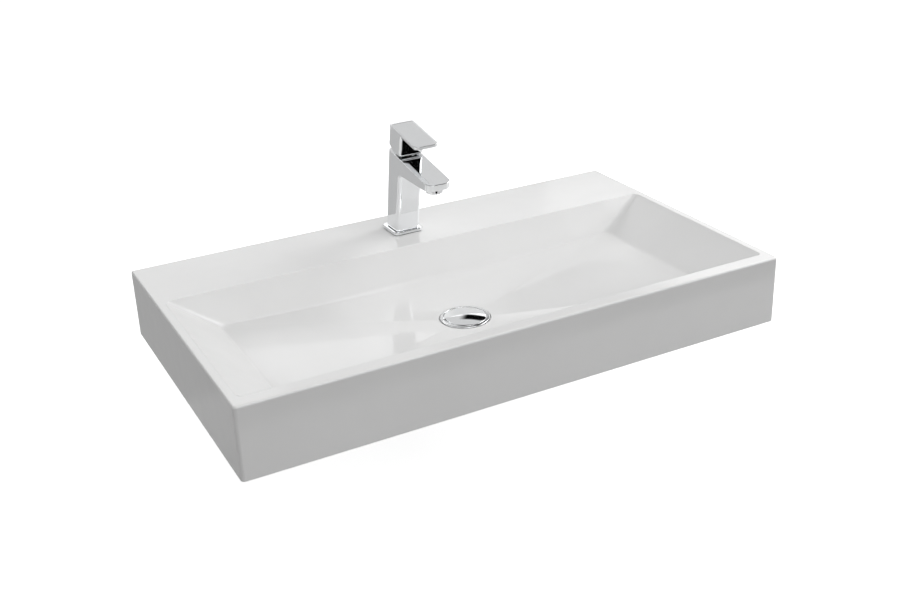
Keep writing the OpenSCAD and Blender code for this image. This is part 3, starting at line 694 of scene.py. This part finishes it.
def makeBasePlate():
    facts = plateSet
    low, high, lowEdge = facts["low"], facts["high"], facts["lowEdge"]
    bm = bmesh.new()
    rows = [plateRow(facts, lowEdge, low), plateRow(facts, 0, low + lowEdge)]
    rows += [plateRow(facts, inset, high - down) for inset, down in roundSteps(facts["edge"], 5)]
    rings = drawRows(bm, rows)
    bore = drawRows(bm, [circlePoints(facts["bore"], z) for z in (low, high)])
    fillFlat(bm, rings[0][1] + bore[0][1])
    fillFlat(bm, rings[-1][1] + bore[1][1])
    finishPiece(bm, "tapBasePlate", levelPlace, chrome, "fixed_set", "chrome", "tap_base_plate")


makeBasePlate()


# the tap's body: a leaning column and its spout, cast in one

bodySet = {
    "halfWidth": 19.5,
    "front": -20,
    "back": 18,
    "edge": 6,
    "top": 132,
    "tip": -111,
    "tipRound": 11,
    "trim": 0.9,
    "spoutTrim": 1.6,
    "root": 8,
    "rootFade": 0.75,      # how far the edge has opened at the end of the root's round
    "frontFade": 14,       # and how far below it the edge is fully open
    "foot": 6.7,
    "step": 1.3,
    # radius and height down the hollow for the cartridge
    "well": ((15, 132), (15, 122), (12.6, 122), (12.6, 115.5), (14.5, 115.5), (14.5, 103),
             (12.6, 103), (12.6, 100)),
    "axisY": -1,
    "aeratorBore": (10.5, 8.2),
    "steps": 8,
    "rootSteps": 12,
    "frontSteps": 7,
}


def edgeRow(halfWidth, spot, normal, radius, steps):
    # one section across a face of the piece, rounded into the side faces at both ends
    right = []
    for k in range(steps + 1):
        a = math.radians(90 * k / steps)
        x = halfWidth - radius + radius * math.cos(a)
        d = radius * (1 - math.sin(a))
        right.append((x, spot[0] - normal[0] * d, spot[1] - normal[1] * d))
    return right + [(-x, y, z) for x, y, z in reversed(right)]


def levelZ(y, height):
    # a level plane over the deck, seen in the leaning frame
    return (height - y * sinLean) / cosLean


def topRows(outline, top, trim):
    return [insetRow(outline, inset, top - down) for inset, down in roundSteps(trim, 4)]


def makeTapBody():
    facts = bodySet
    steps = facts["steps"]
    n = steps + 1
    bm = bmesh.new()
    halfWidth, front, edge, foot = facts["halfWidth"], facts["front"], facts["edge"], facts["foot"]
    spoutTrim, under = facts["spoutTrim"], placeSet["spoutHeight"]
    outline = planOutline(halfWidth, facts["tip"], facts["tipRound"], facts["back"], edge, steps)
    rows = topRows(outline, facts["top"], facts["trim"])
    top = drawRows(bm, rows)[-1]
    well = drawRows(bm, [circlePoints(r, z, (0, facts["axisY"])) for r, z in facts["well"]])
    bm.faces.new(well[-1][0])
    fillFlat(bm, top[1] + well[0][1])

    # the path from the spout's underside, through the root's round, down the column's front
    root = facts["root"]
    rootY = front - root
    rootZ = levelZ(rootY, under) - root / cosLean
    path = []
    for k in range(facts["rootSteps"] + 1):
        share = k / facts["rootSteps"]
        a = (math.pi / 2 - lean) * (1 - share)
        normal = (-math.cos(a), -math.sin(a))
        spot = (rootY - root * normal[0], rootZ - root * normal[1])
        path.append((spot, normal, ease(spoutTrim, edge, share * facts["rootFade"])))
    reached = path[-1][2]
    for k in range(1, facts["frontSteps"] + 1):
        share = k / facts["frontSteps"]
        path.append(((front, rootZ - facts["frontFade"] * share), (-1, 0), ease(reached, edge, share)))
    strip = [edgeRow(halfWidth, *step, steps) for step in path]
    column = edgeRow(halfWidth, (front, 0), (-1, 0), edge, steps)
    strip.append([(x, y, levelZ(y, foot)) for x, y, z in column])
    drawRows(bm, strip, closed=False)

    # the rounded lower edge of the spout, round its tip
    lower = []
    for k, (inset, up) in enumerate(roundSteps(spoutTrim, steps)):
        row = [(-halfWidth + inset, *strip[0][-1 - k][1:])]
        for x, y, nx, ny in outline[-n:] + outline[:n]:
            flatY = y - ny * inset
            row.append((x - nx * inset, flatY + sinLean * up, levelZ(flatY, under) + cosLean * up))
        row.append((halfWidth - inset, *strip[0][k][1:]))
        lower.append(row)
    drawRows(bm, lower, closed=False)

    # the spout's underside with the aerator's bore
    radius, depth = facts["aeratorBore"]
    boreY = -placeSet["spoutReach"] * cosLean + under * sinLean
    boreZ = levelZ(boreY, under)
    bore = drawRows(bm, [
        [(x, boreY + y * cosLean + sinLean * up, boreZ - y * sinLean + cosLean * up)
         for x, y, z in circlePoints(radius, 0)]
        for up in (0, depth)
    ])
    bm.faces.new(bore[1][0])
    fillFlat(bm, addRow(bm, lower[-1])[1] + bore[0][1])

    # the spout's tip, the back and the sides
    topRow = rows[0]
    drawRows(bm, [topRow[-n:] + topRow[:n], lower[0][1:-1]], closed=False)
    backTop = topRow[n:3 * n]
    backLow = [(x, y, levelZ(y, foot)) for x, y, z in backTop]
    drawRows(bm, [backTop, backLow], closed=False)
    for side, tipTop, tipLow, backEnd in ((0, n - 1, -2, n), (-1, -n, 1, 3 * n - 1)):
        line = [row[side] for row in strip]
        addFace(bm, [topRow[tipTop], lower[0][tipLow], *line, backLow[side], topRow[backEnd]])

    # the foot is drawn in a little above the base plate; it is the one large level face there
    addFace(bm, strip[-1][::-1] + backLow)
    bmesh.ops.remove_doubles(bm, verts=bm.verts, dist=mergeGap)
    caps = [f for f in bm.faces if len(f.verts) > 3 * steps
            and abs(f.normal.z) > 0.9 and f.calc_center_median().z < 2 * foot]
    bmesh.ops.inset_region(bm, faces=caps, thickness=facts["step"], use_even_offset=True)
    bmesh.ops.recalc_face_normals(bm, faces=bm.faces)
    drawn = bmesh.ops.extrude_face_region(bm, geom=caps)["geom"]
    bmesh.ops.translate(bm, vec=(0, 0, plateSet["high"] - foot),
                        verts=[v for v in drawn if isinstance(v, bmesh.types.BMVert)])
    bmesh.ops.delete(bm, geom=[f for f in caps if f.is_valid], context="FACES_ONLY")
    finishPiece(bm, "tapBody", leanPlace, chrome, "fixed_set", "chrome", "tap_body")


makeTapBody()


# a black rubber band in the thin gap between the body and its base plate: painted shade, standing in for the
# shadow in that gap

gapShadeSet = {
    "size": (37, 35.4),
    "middle": -2.1,
    "corner": 5.4,
    "low": 5.5,
    "high": 7.2,
    "edge": 0.3,
    "steps": 8,
}


def makeGapShade():
    facts = gapShadeSet
    low, edge = facts["low"], facts["edge"]
    bm = bmesh.new()
    rows = [plateRow(facts, edge, low), plateRow(facts, 0, low + edge), plateRow(facts, 0, facts["high"])]
    rings = drawRows(bm, rows)
    bm.faces.new(rings[0][0])
    bm.faces.new(rings[-1][0])
    # the band is near black so the gap reads dark under any lamp: painted shade
    finishPiece(bm, "paintedGapShade", levelPlace, blackRubber, "fixed_set", "black_rubber")


makeGapShade()


# the shank under the body, with the bores for the hoses and the stud

shankSet = {
    "radius": 15,
    "low": -6,
    "high": 5.6,
    "chamfer": 0.8,
    # radius and middle of each bore: hot, cold and the stud
    "bores": ((4.5, (-7.5, 5)), (4.5, (7.5, 5)), (4.05, (0, -9))),
    "boreTop": 5.0,
    "boreEdge": 0.5,
}


def makeShank():
    facts = shankSet
    bm = bmesh.new()
    radius, low, chamfer = facts["radius"], facts["low"], facts["chamfer"]
    profile = [(radius - chamfer, low), (radius, low + chamfer), (radius, facts["high"])]
    outside = drawRows(bm, [circlePoints(r, z) for r, z in profile])
    bm.faces.new(outside[-1][0])
    mouths = []
    edge = facts["boreEdge"]
    for radius, spot in facts["bores"]:
        profile = [(radius + edge, low), (radius, low + edge), (radius, facts["boreTop"])]
        bore = drawRows(bm, [circlePoints(r, z, spot, 32) for r, z in profile])
        bm.faces.new(bore[-1][0])
        mouths += bore[0][1]
    fillFlat(bm, outside[0][1] + mouths)
    finishPiece(bm, "tapShank", levelPlace, turnedBrass, "fixed_set", "brass")


makeShank()


# the lever: a block over the cartridge and a thin blade over the spout

leverSet = {
    "halfWidth": 19,
    "front": -20,
    "back": 16,
    "low": 133.8,
    "blade": -68,
    "bladeRound": 7,
    "bladeUnder": 167.5,
    "top": 172,
    "trim": 0.7,
    # inset and depth of the sunk panel's edge
    "panel": ((1.45, 0), (1.65, 0.08), (1.85, 0.4), (2.1, 0.5)),
    "root": 1.4,
    "rootEdge": 1.6,
    "rootFade": 5,
    "edge": 4.5,
    "lowFade": 9,
    "lowEdge": 3.2,
    "lowRound": 3.4,
    "lowTrim": 0.8,
    "reliefStart": 1,      # behind this the underside slopes up, to clear the body when tilted
    "reliefRise": 7,
    "backEdge": 3,
    "backRound": 2.2,
    "backLowEdge": 1.8,
    "backFade": 8,
    "cavity": (14.5, 143),
    "axisY": -1,
    "steps": 8,
    "rootSteps": 5,
    "lowSteps": (6, 7),    # down to the round at the block's foot, and round it
    "backSteps": (6, 4),   # round the corner behind, and up from it
    "cavitySteps": 20,
}


def arcPath(centre, radius, start, end, steps, inside=False):
    # points of a side view's arc with their outward directions; inside is a hollow corner
    points = []
    reach = -radius if inside else radius
    for k in range(steps + 1):
        a = math.radians(start + (end - start) * k / steps)
        out = (math.cos(a), math.sin(a))
        points.append(((centre[0] + reach * out[0], centre[1] + reach * out[1]), out))
    return points


def leverPath():
    # the side view: (spot, outward direction, edge radius), and where its two flats start
    facts = leverSet
    front, back, low, trim = facts["front"], facts["back"], facts["low"], facts["trim"]
    root, rootEdge, edge = facts["root"], facts["rootEdge"], facts["edge"]
    upper = facts["bladeUnder"] - root
    rootSteps, (fadeSteps, lowSteps) = facts["rootSteps"], facts["lowSteps"]
    path = []
    for spot, out in arcPath((front - root, upper), root, 270, 180, rootSteps, inside=True):
        path.append((spot, out, trim + (rootEdge - trim) * len(path) / rootSteps))
    for drop in range(1, facts["rootFade"] + 1):
        path.append(((front, upper - drop), (-1, 0), ease(rootEdge, edge, drop / facts["rootFade"])))
    lowRound, lowEdge = facts["lowRound"], facts["lowEdge"]
    for k in range(fadeSteps + 1):
        z = low + lowRound + facts["lowFade"] * (1 - k / fadeSteps)
        path.append(((front, z), (-1, 0), ease(edge, lowEdge, k / fadeSteps)))
    for spot, out in arcPath((front + lowRound, low + lowRound), lowRound, 180, 270, lowSteps)[1:]:
        path.append((spot, out, lowEdge))
    flatStart = len(path) - 1

    # the slope up behind, its round corner and the back
    rise, run = facts["reliefRise"], back - facts["reliefStart"]
    length = math.hypot(rise, run)
    slope = (rise / length, -run / length)
    path.append(((facts["reliefStart"], low), (slope[0] / 2, -1), facts["lowTrim"]))
    turn, backEdge, lowBack = facts["backRound"], facts["backEdge"], facts["backLowEdge"]
    turnY = back - turn
    turnZ = low + ((turnY - facts["reliefStart"]) * slope[0] + turn) / -slope[1]
    slopeAngle = math.degrees(math.atan2(slope[1], slope[0]))
    turnSteps, backSteps = facts["backSteps"]
    for spot, out in arcPath((turnY, turnZ), turn, slopeAngle, 0, turnSteps):
        path.append((spot, out, lowBack))
    for k in range(1, backSteps + 1):
        share = k / backSteps
        path.append(((back, turnZ + facts["backFade"] * share), (1, 0), ease(lowBack, backEdge, share)))
    path.append(((back, facts["top"] - trim), (1, 0), backEdge))
    return path, flatStart


def makeLever():
    facts = leverSet
    steps = facts["steps"]
    n = steps + 1
    bm = bmesh.new()
    halfWidth, trim, low, top = facts["halfWidth"], facts["trim"], facts["low"], facts["top"]
    outline = planOutline(halfWidth, facts["blade"], facts["bladeRound"], facts["back"],
                          facts["backEdge"], steps)
    rows = topRows(outline, top, trim)
    rows += [insetRow(outline, inset, top - down) for inset, down in facts["panel"]]
    bm.faces.new(drawRows(bm, rows)[-1][0])

    # the strip along the side view, open where the two flats hold the hollow's mouth
    path, flatStart = leverPath()
    slopeStart, slopeEnd = flatStart + 1, flatStart + 2
    strip = [edgeRow(halfWidth, *step, steps) for step in path]
    drawRows(bm, strip[:flatStart + 1], closed=False)
    drawRows(bm, strip[slopeEnd:], closed=False)
    for part in (slice(0, n), slice(n, None)):
        drawRows(bm, [row[part] for row in strip[flatStart:slopeEnd + 1]], closed=False)

    # the hollow for the cartridge nut, open in the block's underside
    radius, ceiling = facts["cavity"]
    mid, start = facts["axisY"], facts["reliefStart"]
    rise = facts["reliefRise"] / (facts["back"] - start)
    half = math.asin((start - mid) / radius)
    flatArc, slopeArc = [], []
    for k in range(facts["cavitySteps"] + 1):
        share = k / facts["cavitySteps"]
        a = math.pi - half + (math.pi + 2 * half) * share
        flatArc.append((radius * math.cos(a), mid + radius * math.sin(a), low))
        b = half + (math.pi - 2 * half) * share
        y = mid + radius * math.sin(b)
        slopeArc.append((radius * math.cos(b), y, low + (y - start) * rise))
    a, b, c = strip[flatStart], strip[slopeStart], strip[slopeEnd]
    fillFlat(bm, addRow(bm, [a[n - 1], a[n], b[n], *flatArc, b[n - 1]])[1])
    fillFlat(bm, addRow(bm, [b[n - 1], *slopeArc, b[n], c[n], c[n - 1]])[1])
    mouth = flatArc[:-1] + slopeArc[:-1]
    roof = [(x, y, ceiling) for x, y, z in mouth]
    bm.faces.new(drawRows(bm, [mouth, roof])[-1][0])

    # the blade's lower edge, front and underside, then the sides
    lower = []
    for k, (inset, up) in enumerate(roundSteps(trim, steps)):
        row = insetRow(outline[-n:] + outline[:n], inset, facts["bladeUnder"] + up)
        lower.append([strip[0][-1 - k], *row, strip[0][k]])
    drawRows(bm, lower, closed=False)
    addFace(bm, lower[-1])
    topRow = rows[0]
    drawRows(bm, [topRow[-n:] + topRow[:n], lower[0][1:-1]], closed=False)
    for side, tipTop, tipLow in ((0, n - 1, -2), (-1, -n, 1)):
        addFace(bm, [topRow[tipTop], lower[0][tipLow], *[row[side] for row in strip]])
    finishPiece(bm, "leverHandle", leanPlace, chrome, "lever_set", "chrome", "lever")


makeLever()


# the aerator's ring

aeratorSet = {
    "radius": 12,
    "height": 7,
    "edge": 0.7,
    "boreEdge": 0.5,
    "bore": 8.9,
    "thread": 10.4,
    "threadTop": 6.4,
    # depth and height round the groove under its top
    "groove": ((0, -0.9), (0.25, -0.7), (0.25, -0.35), (0, -0.25), (0, -0.02)),
}


def makeAerator():
    facts = aeratorSet
    bm = bmesh.new()
    r, low, edge = facts["radius"], -facts["height"], facts["edge"]
    bore, soft, threadTop = facts["bore"], facts["boreEdge"], facts["threadTop"]
    profile = [(bore, threadTop), (bore, low + soft), (bore + soft, low)]
    profile += cornerRound(r - edge, low + edge, edge, -90, 0, 5)
    profile += [(r - depth, z) for depth, z in facts["groove"]]
    profile += [(facts["thread"], 0), (facts["thread"], threadTop)]
    lathe(bm, profile)
    finishPiece(bm, "aeratorRing", aeratorPlace, chrome, "fixed_set", "chrome", "aerator_ring")


makeAerator()


# the waste: a dished flange with its tail, and the push-open cap

flangeSet = {
    "radius": 35.5,
    "top": 1.5,
    "edge": 1.2,
    "under": (-2, 0.4),        # height and softened edge
    "lip": (31.1, 0.5),        # radius and its round
    "dish": (-1, 0.6),
    "collar": (22.5, -9),      # radius and lowest point
    "throat": (21.5, 20.7, -10),
    "bore": 18.555,
    "tail": (20.955, -76, 0.8),    # radius, lowest point and chamfer
    # depth and height round one turn of the thread
    "thread": ((0, 0.5), (0, 0.8), (0.7, 1.4), (0.7, 1.6)),
    "threadTop": (-20, 0.4),
    "pitch": 2.3,
    "hub": (5.1, 7, -24, -20),     # bore, radius, low and high
    "arm": (4, 3.6, 0.7),      # width, height and rounded edge
    "armEnds": (0.6, 1),       # how far an arm runs into the hub and into the tail
    "armTurns": (90, 210, 330),
    "steps": 120,
}


def makeFlange():
    facts = flangeSet
    bm = bmesh.new()
    radius, top, edge, bore = facts["radius"], facts["top"], facts["edge"], facts["bore"]
    tail, tailLow, chamfer = facts["tail"]
    profile = [(bore, tailLow), (tail - chamfer, tailLow)]
    z = tailLow + chamfer
    threadTop, threadEnd = facts["threadTop"]
    while z + facts["pitch"] < threadTop:
        profile += [(tail - depth, z + up) for depth, up in facts["thread"]]
        z += facts["pitch"]
    collar, collarLow = facts["collar"]
    under, soft = facts["under"]
    profile += [(tail, z + threadEnd), (tail, collarLow), (collar, collarLow), (collar, under)]
    profile += [(radius - soft, under), (radius, under + soft)]
    profile += cornerRound(radius - edge, top - edge, edge, 0, 90, 6)
    lip, soft = facts["lip"]
    profile += cornerRound(lip + soft, top - soft, soft, 90, 180, 4)
    dish, soft = facts["dish"]
    wide, narrow, throat = facts["throat"]
    profile += [(lip, dish + soft), (lip - soft, dish)]
    profile += [(wide, dish), (narrow, dish - (wide - narrow)), (bore, throat)]
    lathe(bm, profile, facts["steps"])

    # the hub that guides the plug's stem, on three arms
    inner, outer, low, high = facts["hub"]
    hub = bmesh.new()
    lathe(hub, [(inner, low), (outer, low), (outer, high), (inner, high)], 48)
    joinPart(bm, hub)
    width, height, armRound = facts["arm"]
    start, end = outer - facts["armEnds"][0], bore + facts["armEnds"][1]
    for turn in facts["armTurns"]:
        arm = bmesh.new()
        bmesh.ops.create_cube(arm, size=1)
        bmesh.ops.scale(arm, vec=(end - start, width, height), verts=arm.verts)
        edges = [e for e in arm.edges if abs(e.verts[0].co.x - e.verts[1].co.x) > 1]
        bmesh.ops.bevel(
            arm, geom=edges, offset=armRound, affect="EDGES", segments=3, profile=0.5, material=-1,
        )
        bmesh.ops.translate(arm, vec=((start + end) / 2, 0, (low + high) / 2), verts=arm.verts)
        bmesh.ops.rotate(arm, matrix=Matrix.Rotation(math.radians(turn), 3, "Z"), verts=arm.verts)
        joinPart(bm, arm)
    finishPiece(bm, "wasteFlange", wastePlace, chrome, "fixed_set", "chrome", "waste_flange")


capSet = {
    "radius": 30.5,
    "edge": (0.7, 78),         # its round, and how far it turns before the dome takes over
    "low": -0.1,
    "soft": 0.5,
    "rimTop": 1.5,
    "dome": 2.6,
    "domeSteps": 24,
    "boss": 6,
    "bossLow": -4,
    "steps": 120,
}


def makeCap():
    facts = capSet
    bm = bmesh.new()
    r, dome, rimTop, soft = facts["radius"], facts["dome"], facts["rimTop"], facts["soft"]
    edge, edgeTurn = facts["edge"]
    boss, bossLow, low = facts["boss"], facts["bossLow"], facts["low"]
    domeRadius = (r * r + dome * dome) / (2 * dome)
    centre = rimTop + dome - domeRadius
    profile = [(0, bossLow), (boss - soft, bossLow), (boss, bossLow + soft), (boss, low)]
    profile += [(r - soft, low), (r, low + soft)]
    profile += cornerRound(r - edge, rimTop - edge, edge, 0, edgeTurn, 5)
    for k in range(1, facts["domeSteps"] + 1):
        x = (r - edge) * (1 - k / facts["domeSteps"])
        profile.append((x, centre + math.sqrt(domeRadius ** 2 - x * x)))
    lathe(bm, profile, facts["steps"], closed=False)
    finishPiece(bm, "wasteCap", wastePlace, chrome, "plug", "chrome", "waste_cap")


makeFlange()
makeCap()


# finishes for the CAD nodes that keep their own shape

nodeFinishes = {
    "tap_base_gasket": blackRubber,
    "cartridge_seals": blackRubber,
    "cartridge_base": whitePlastic,
    "fixed_disc": lappedCeramic,
    "moving_disc": lappedCeramic,
    "disc_carrier": whitePlastic,
    "cartridge_housing": whitePlastic,
    "housing_seal": blackRubber,
    "spindle_holder": whitePlastic,
    "spindle_pin": brushedSteel,
    "spindle": turnedBrass,
    "cartridge_nut": platedBrass,
    "lever_screw": brushedSteel,
    "indicator_cap": chrome,
    "aerator_insert": whitePlastic,
    "aerator_seal": blackRubber,
    "clamp_stud": brushedSteel,
    "clamp_seal": blackRubber,
    "clamp_plate": brushedSteel,
    "clamp_nut": turnedBrass,
    "waste_top_seal": blackRubber,
    "waste_cap_seal": blackRubber,
    "plug_stem": turnedBrass,
    "click_sleeve": turnedBrass,
    "click_spring": brushedSteel,
    "waste_under_seal": blackRubber,
    "waste_washer": whitePlastic,
    "waste_nut": turnedBrass,
}


def finishNodes():
    for name, material in nodeFinishes.items():
        mesh = frame["nodes"][name].data
        mesh.materials.clear()
        mesh.materials.append(material)


finishNodes()
print("nodes finished")


# floor and light

studioSet = {
    "floor": (0.95, 0.95, 0.95),
    "floorShade": 0.99,
    "floorGrain": (3, 2),
    "floorRough": 0.9,
    "floorSpecular": 0.1,
    "floorSize": 30,
    # height and brightness, from below the horizon up to overhead
    "sky": ((0.0, 0.09), (0.29, 0.1), (0.36, 1.2), (0.64, 1.2), (0.75, 0.12), (1.0, 0.05)),
    "skyPower": 1.0,
    "floorGap": 0.2,
    "floorGlow": 0.6,
}


def makeFloor():
    material, nodes, links, shader = newMaterial("studioFloor")
    grain = noiseNode(nodes, links, *studioSet["floorGrain"])
    tone = studioSet["floor"]
    shade = tuple(c * studioSet["floorShade"] for c in tone)
    links.new(rampNode(nodes, links, grain.outputs["Fac"], shade, tone), shader.inputs["Base Color"])
    shader.inputs["Roughness"].default_value = studioSet["floorRough"]
    shader.inputs["Specular IOR Level"].default_value = studioSet["floorSpecular"]
    shader.inputs["Emission Color"].default_value = (1, 1, 1, 1)
    path = nodes.new("ShaderNodeLightPath")
    glow = nodes.new("ShaderNodeMath")
    glow.operation = "MULTIPLY"
    glow.inputs[1].default_value = studioSet["floorGlow"]
    links.new(path.outputs["Is Camera Ray"], glow.inputs[0])
    links.new(glow.outputs["Value"], shader.inputs["Emission Strength"])
    bm = bmesh.new()
    bmesh.ops.create_grid(bm, x_segments=1, y_segments=1, size=studioSet["floorSize"])
    bmesh.ops.translate(bm, vec=(0, 0, cadLow.z - studioSet["floorGap"]), verts=bm.verts)
    mesh = bpy.data.meshes.new("studioFloor")
    bm.to_mesh(mesh)
    bm.free()
    mesh.materials.append(material)
    floor = bpy.data.objects.new("studioFloor", mesh)
    bpy.context.collection.objects.link(floor)
    floor.visible_diffuse = False


lampSet = {
    # name: place from the middle of the object, width, height and power
    "frontCeiling": ((0.3, -1.6, 2.2), 1.6, 1.0, 14.5),
    "rightWindow": ((2.2, 0.2, 1.6), 1.2, 1.2, 20),
    "rightFront": ((1.8, -1.6, 0.9), 1.0, 1.0, 7),
    "frontWindow": ((-0.9, -2.4, 1.5), 1.2, 0.8, 4.6),
    "rightBack": ((1.8, 1.6, 1.2), 1.2, 1.0, 1.2),
}


cardSet = {
    # name: place from the tap, width, height, brightness and how soft its edge is
    "backCard": ((0.95, 1.39, 1.43), 1.5, 0.9, 0.66, 0.02),
    "frontCard": ((0.86, -1.62, 0.80), 0.9, 0.9, 0.0, 0.02),
    "sideCard": ((1.08, 1.20, 0.99), 0.88, 0.44, 0.0, 0.4),
    "leftFloorCard": ((-0.62, 0.86, -0.33), 1.1, 1.3, 0.5, 0.1),
    "frontFloorCard": ((0.5, -1.17, -0.33), 2.6, 0.6, 0.0, 0.1),
}


def cardSoftness(nodes, links, shader, soft):
    # the card fades out towards its edge
    coord = nodes.new("ShaderNodeTexCoord")
    split = nodes.new("ShaderNodeSeparateXYZ")
    links.new(coord.outputs["UV"], split.inputs["Vector"])
    sides = []
    for axis in ("X", "Y"):
        away = nodes.new("ShaderNodeMath")
        away.operation = "PINGPONG"
        away.inputs[1].default_value = 0.5
        links.new(split.outputs[axis], away.inputs[0])
        reach = nodes.new("ShaderNodeMapRange")
        reach.interpolation_type = "SMOOTHSTEP"
        reach.inputs["From Max"].default_value = max(0.001, soft / 2)
        links.new(away.outputs["Value"], reach.inputs["Value"])
        sides.append(reach.outputs["Result"])
    both = nodes.new("ShaderNodeMath")
    both.operation = "MULTIPLY"
    links.new(sides[0], both.inputs[0])
    links.new(sides[1], both.inputs[1])
    links.new(both.outputs["Value"], shader.inputs["Alpha"])


def makeCards():
    # cards that only the reflections see
    for name, (spot, width, height, tone, soft) in cardSet.items():
        material, nodes, links, shader = newMaterial(name)
        shader.inputs["Base Color"].default_value = (0, 0, 0, 1)
        shader.inputs["Specular IOR Level"].default_value = 0
        shader.inputs["Emission Color"].default_value = (1, 1, 1, 1)
        shader.inputs["Emission Strength"].default_value = tone
        cardSoftness(nodes, links, shader, soft)
        mesh = bpy.data.meshes.new(name)
        bm = bmesh.new()
        bm.loops.layers.uv.new("UVMap")
        bmesh.ops.create_grid(bm, x_segments=1, y_segments=1, size=0.5, calc_uvs=True)
        bmesh.ops.scale(bm, vec=(width, height, 1), verts=bm.verts)
        bm.to_mesh(mesh)
        bm.free()
        mesh.materials.append(material)
        card = bpy.data.objects.new(name, mesh)
        bpy.context.collection.objects.link(card)
        place = Vector(spot)
        facing = place if place.z > 0 else Vector((0, 0, 1))
        turn = facing.to_track_quat("Z", "Y").to_matrix().to_4x4()
        card.matrix_world = Matrix.Translation(tapSpot + place) @ turn
        card.visible_diffuse = False
        card.visible_camera = False
        card.visible_shadow = False


def makeLamps():
    for name, (spot, width, height, power) in lampSet.items():
        data = bpy.data.lights.new(name, "AREA")
        data.shape = "RECTANGLE"
        data.size = width
        data.size_y = height
        data.energy = power
        lamp = bpy.data.objects.new(name, data)
        bpy.context.collection.objects.link(lamp)
        place = cadMiddle + Vector(spot)
        aim = (place - cadMiddle).to_track_quat("Z", "Y").to_matrix().to_4x4()
        lamp.matrix_world = Matrix.Translation(place) @ aim


def makeWorld():
    # bright round the horizon, dim overhead and below
    world = bpy.data.worlds.new("studioWorld")
    world.use_nodes = True
    nodes = world.node_tree.nodes
    links = world.node_tree.links
    coord = nodes.new("ShaderNodeTexCoord")
    split = nodes.new("ShaderNodeSeparateXYZ")
    ramp = nodes.new("ShaderNodeValToRGB")
    links.new(coord.outputs["Generated"], split.inputs["Vector"])
    links.new(split.outputs["Z"], ramp.inputs["Fac"])
    marks = ramp.color_ramp.elements
    while len(marks) < len(studioSet["sky"]):
        marks.new(0.5)
    for mark, (height, tone) in zip(marks, studioSet["sky"]):
        mark.position = height
        mark.color = (tone, tone, tone, 1)
    ground = nodes["Background"]
    links.new(ramp.outputs["Color"], ground.inputs["Color"])
    ground.inputs["Strength"].default_value = studioSet["skyPower"]
    bpy.context.scene.world = world
    bpy.context.scene.view_settings.view_transform = "Standard"
    bpy.context.scene.view_settings.look = "None"


makeFloor()
makeCards()
makeLamps()
makeWorld()
print("studio ready")
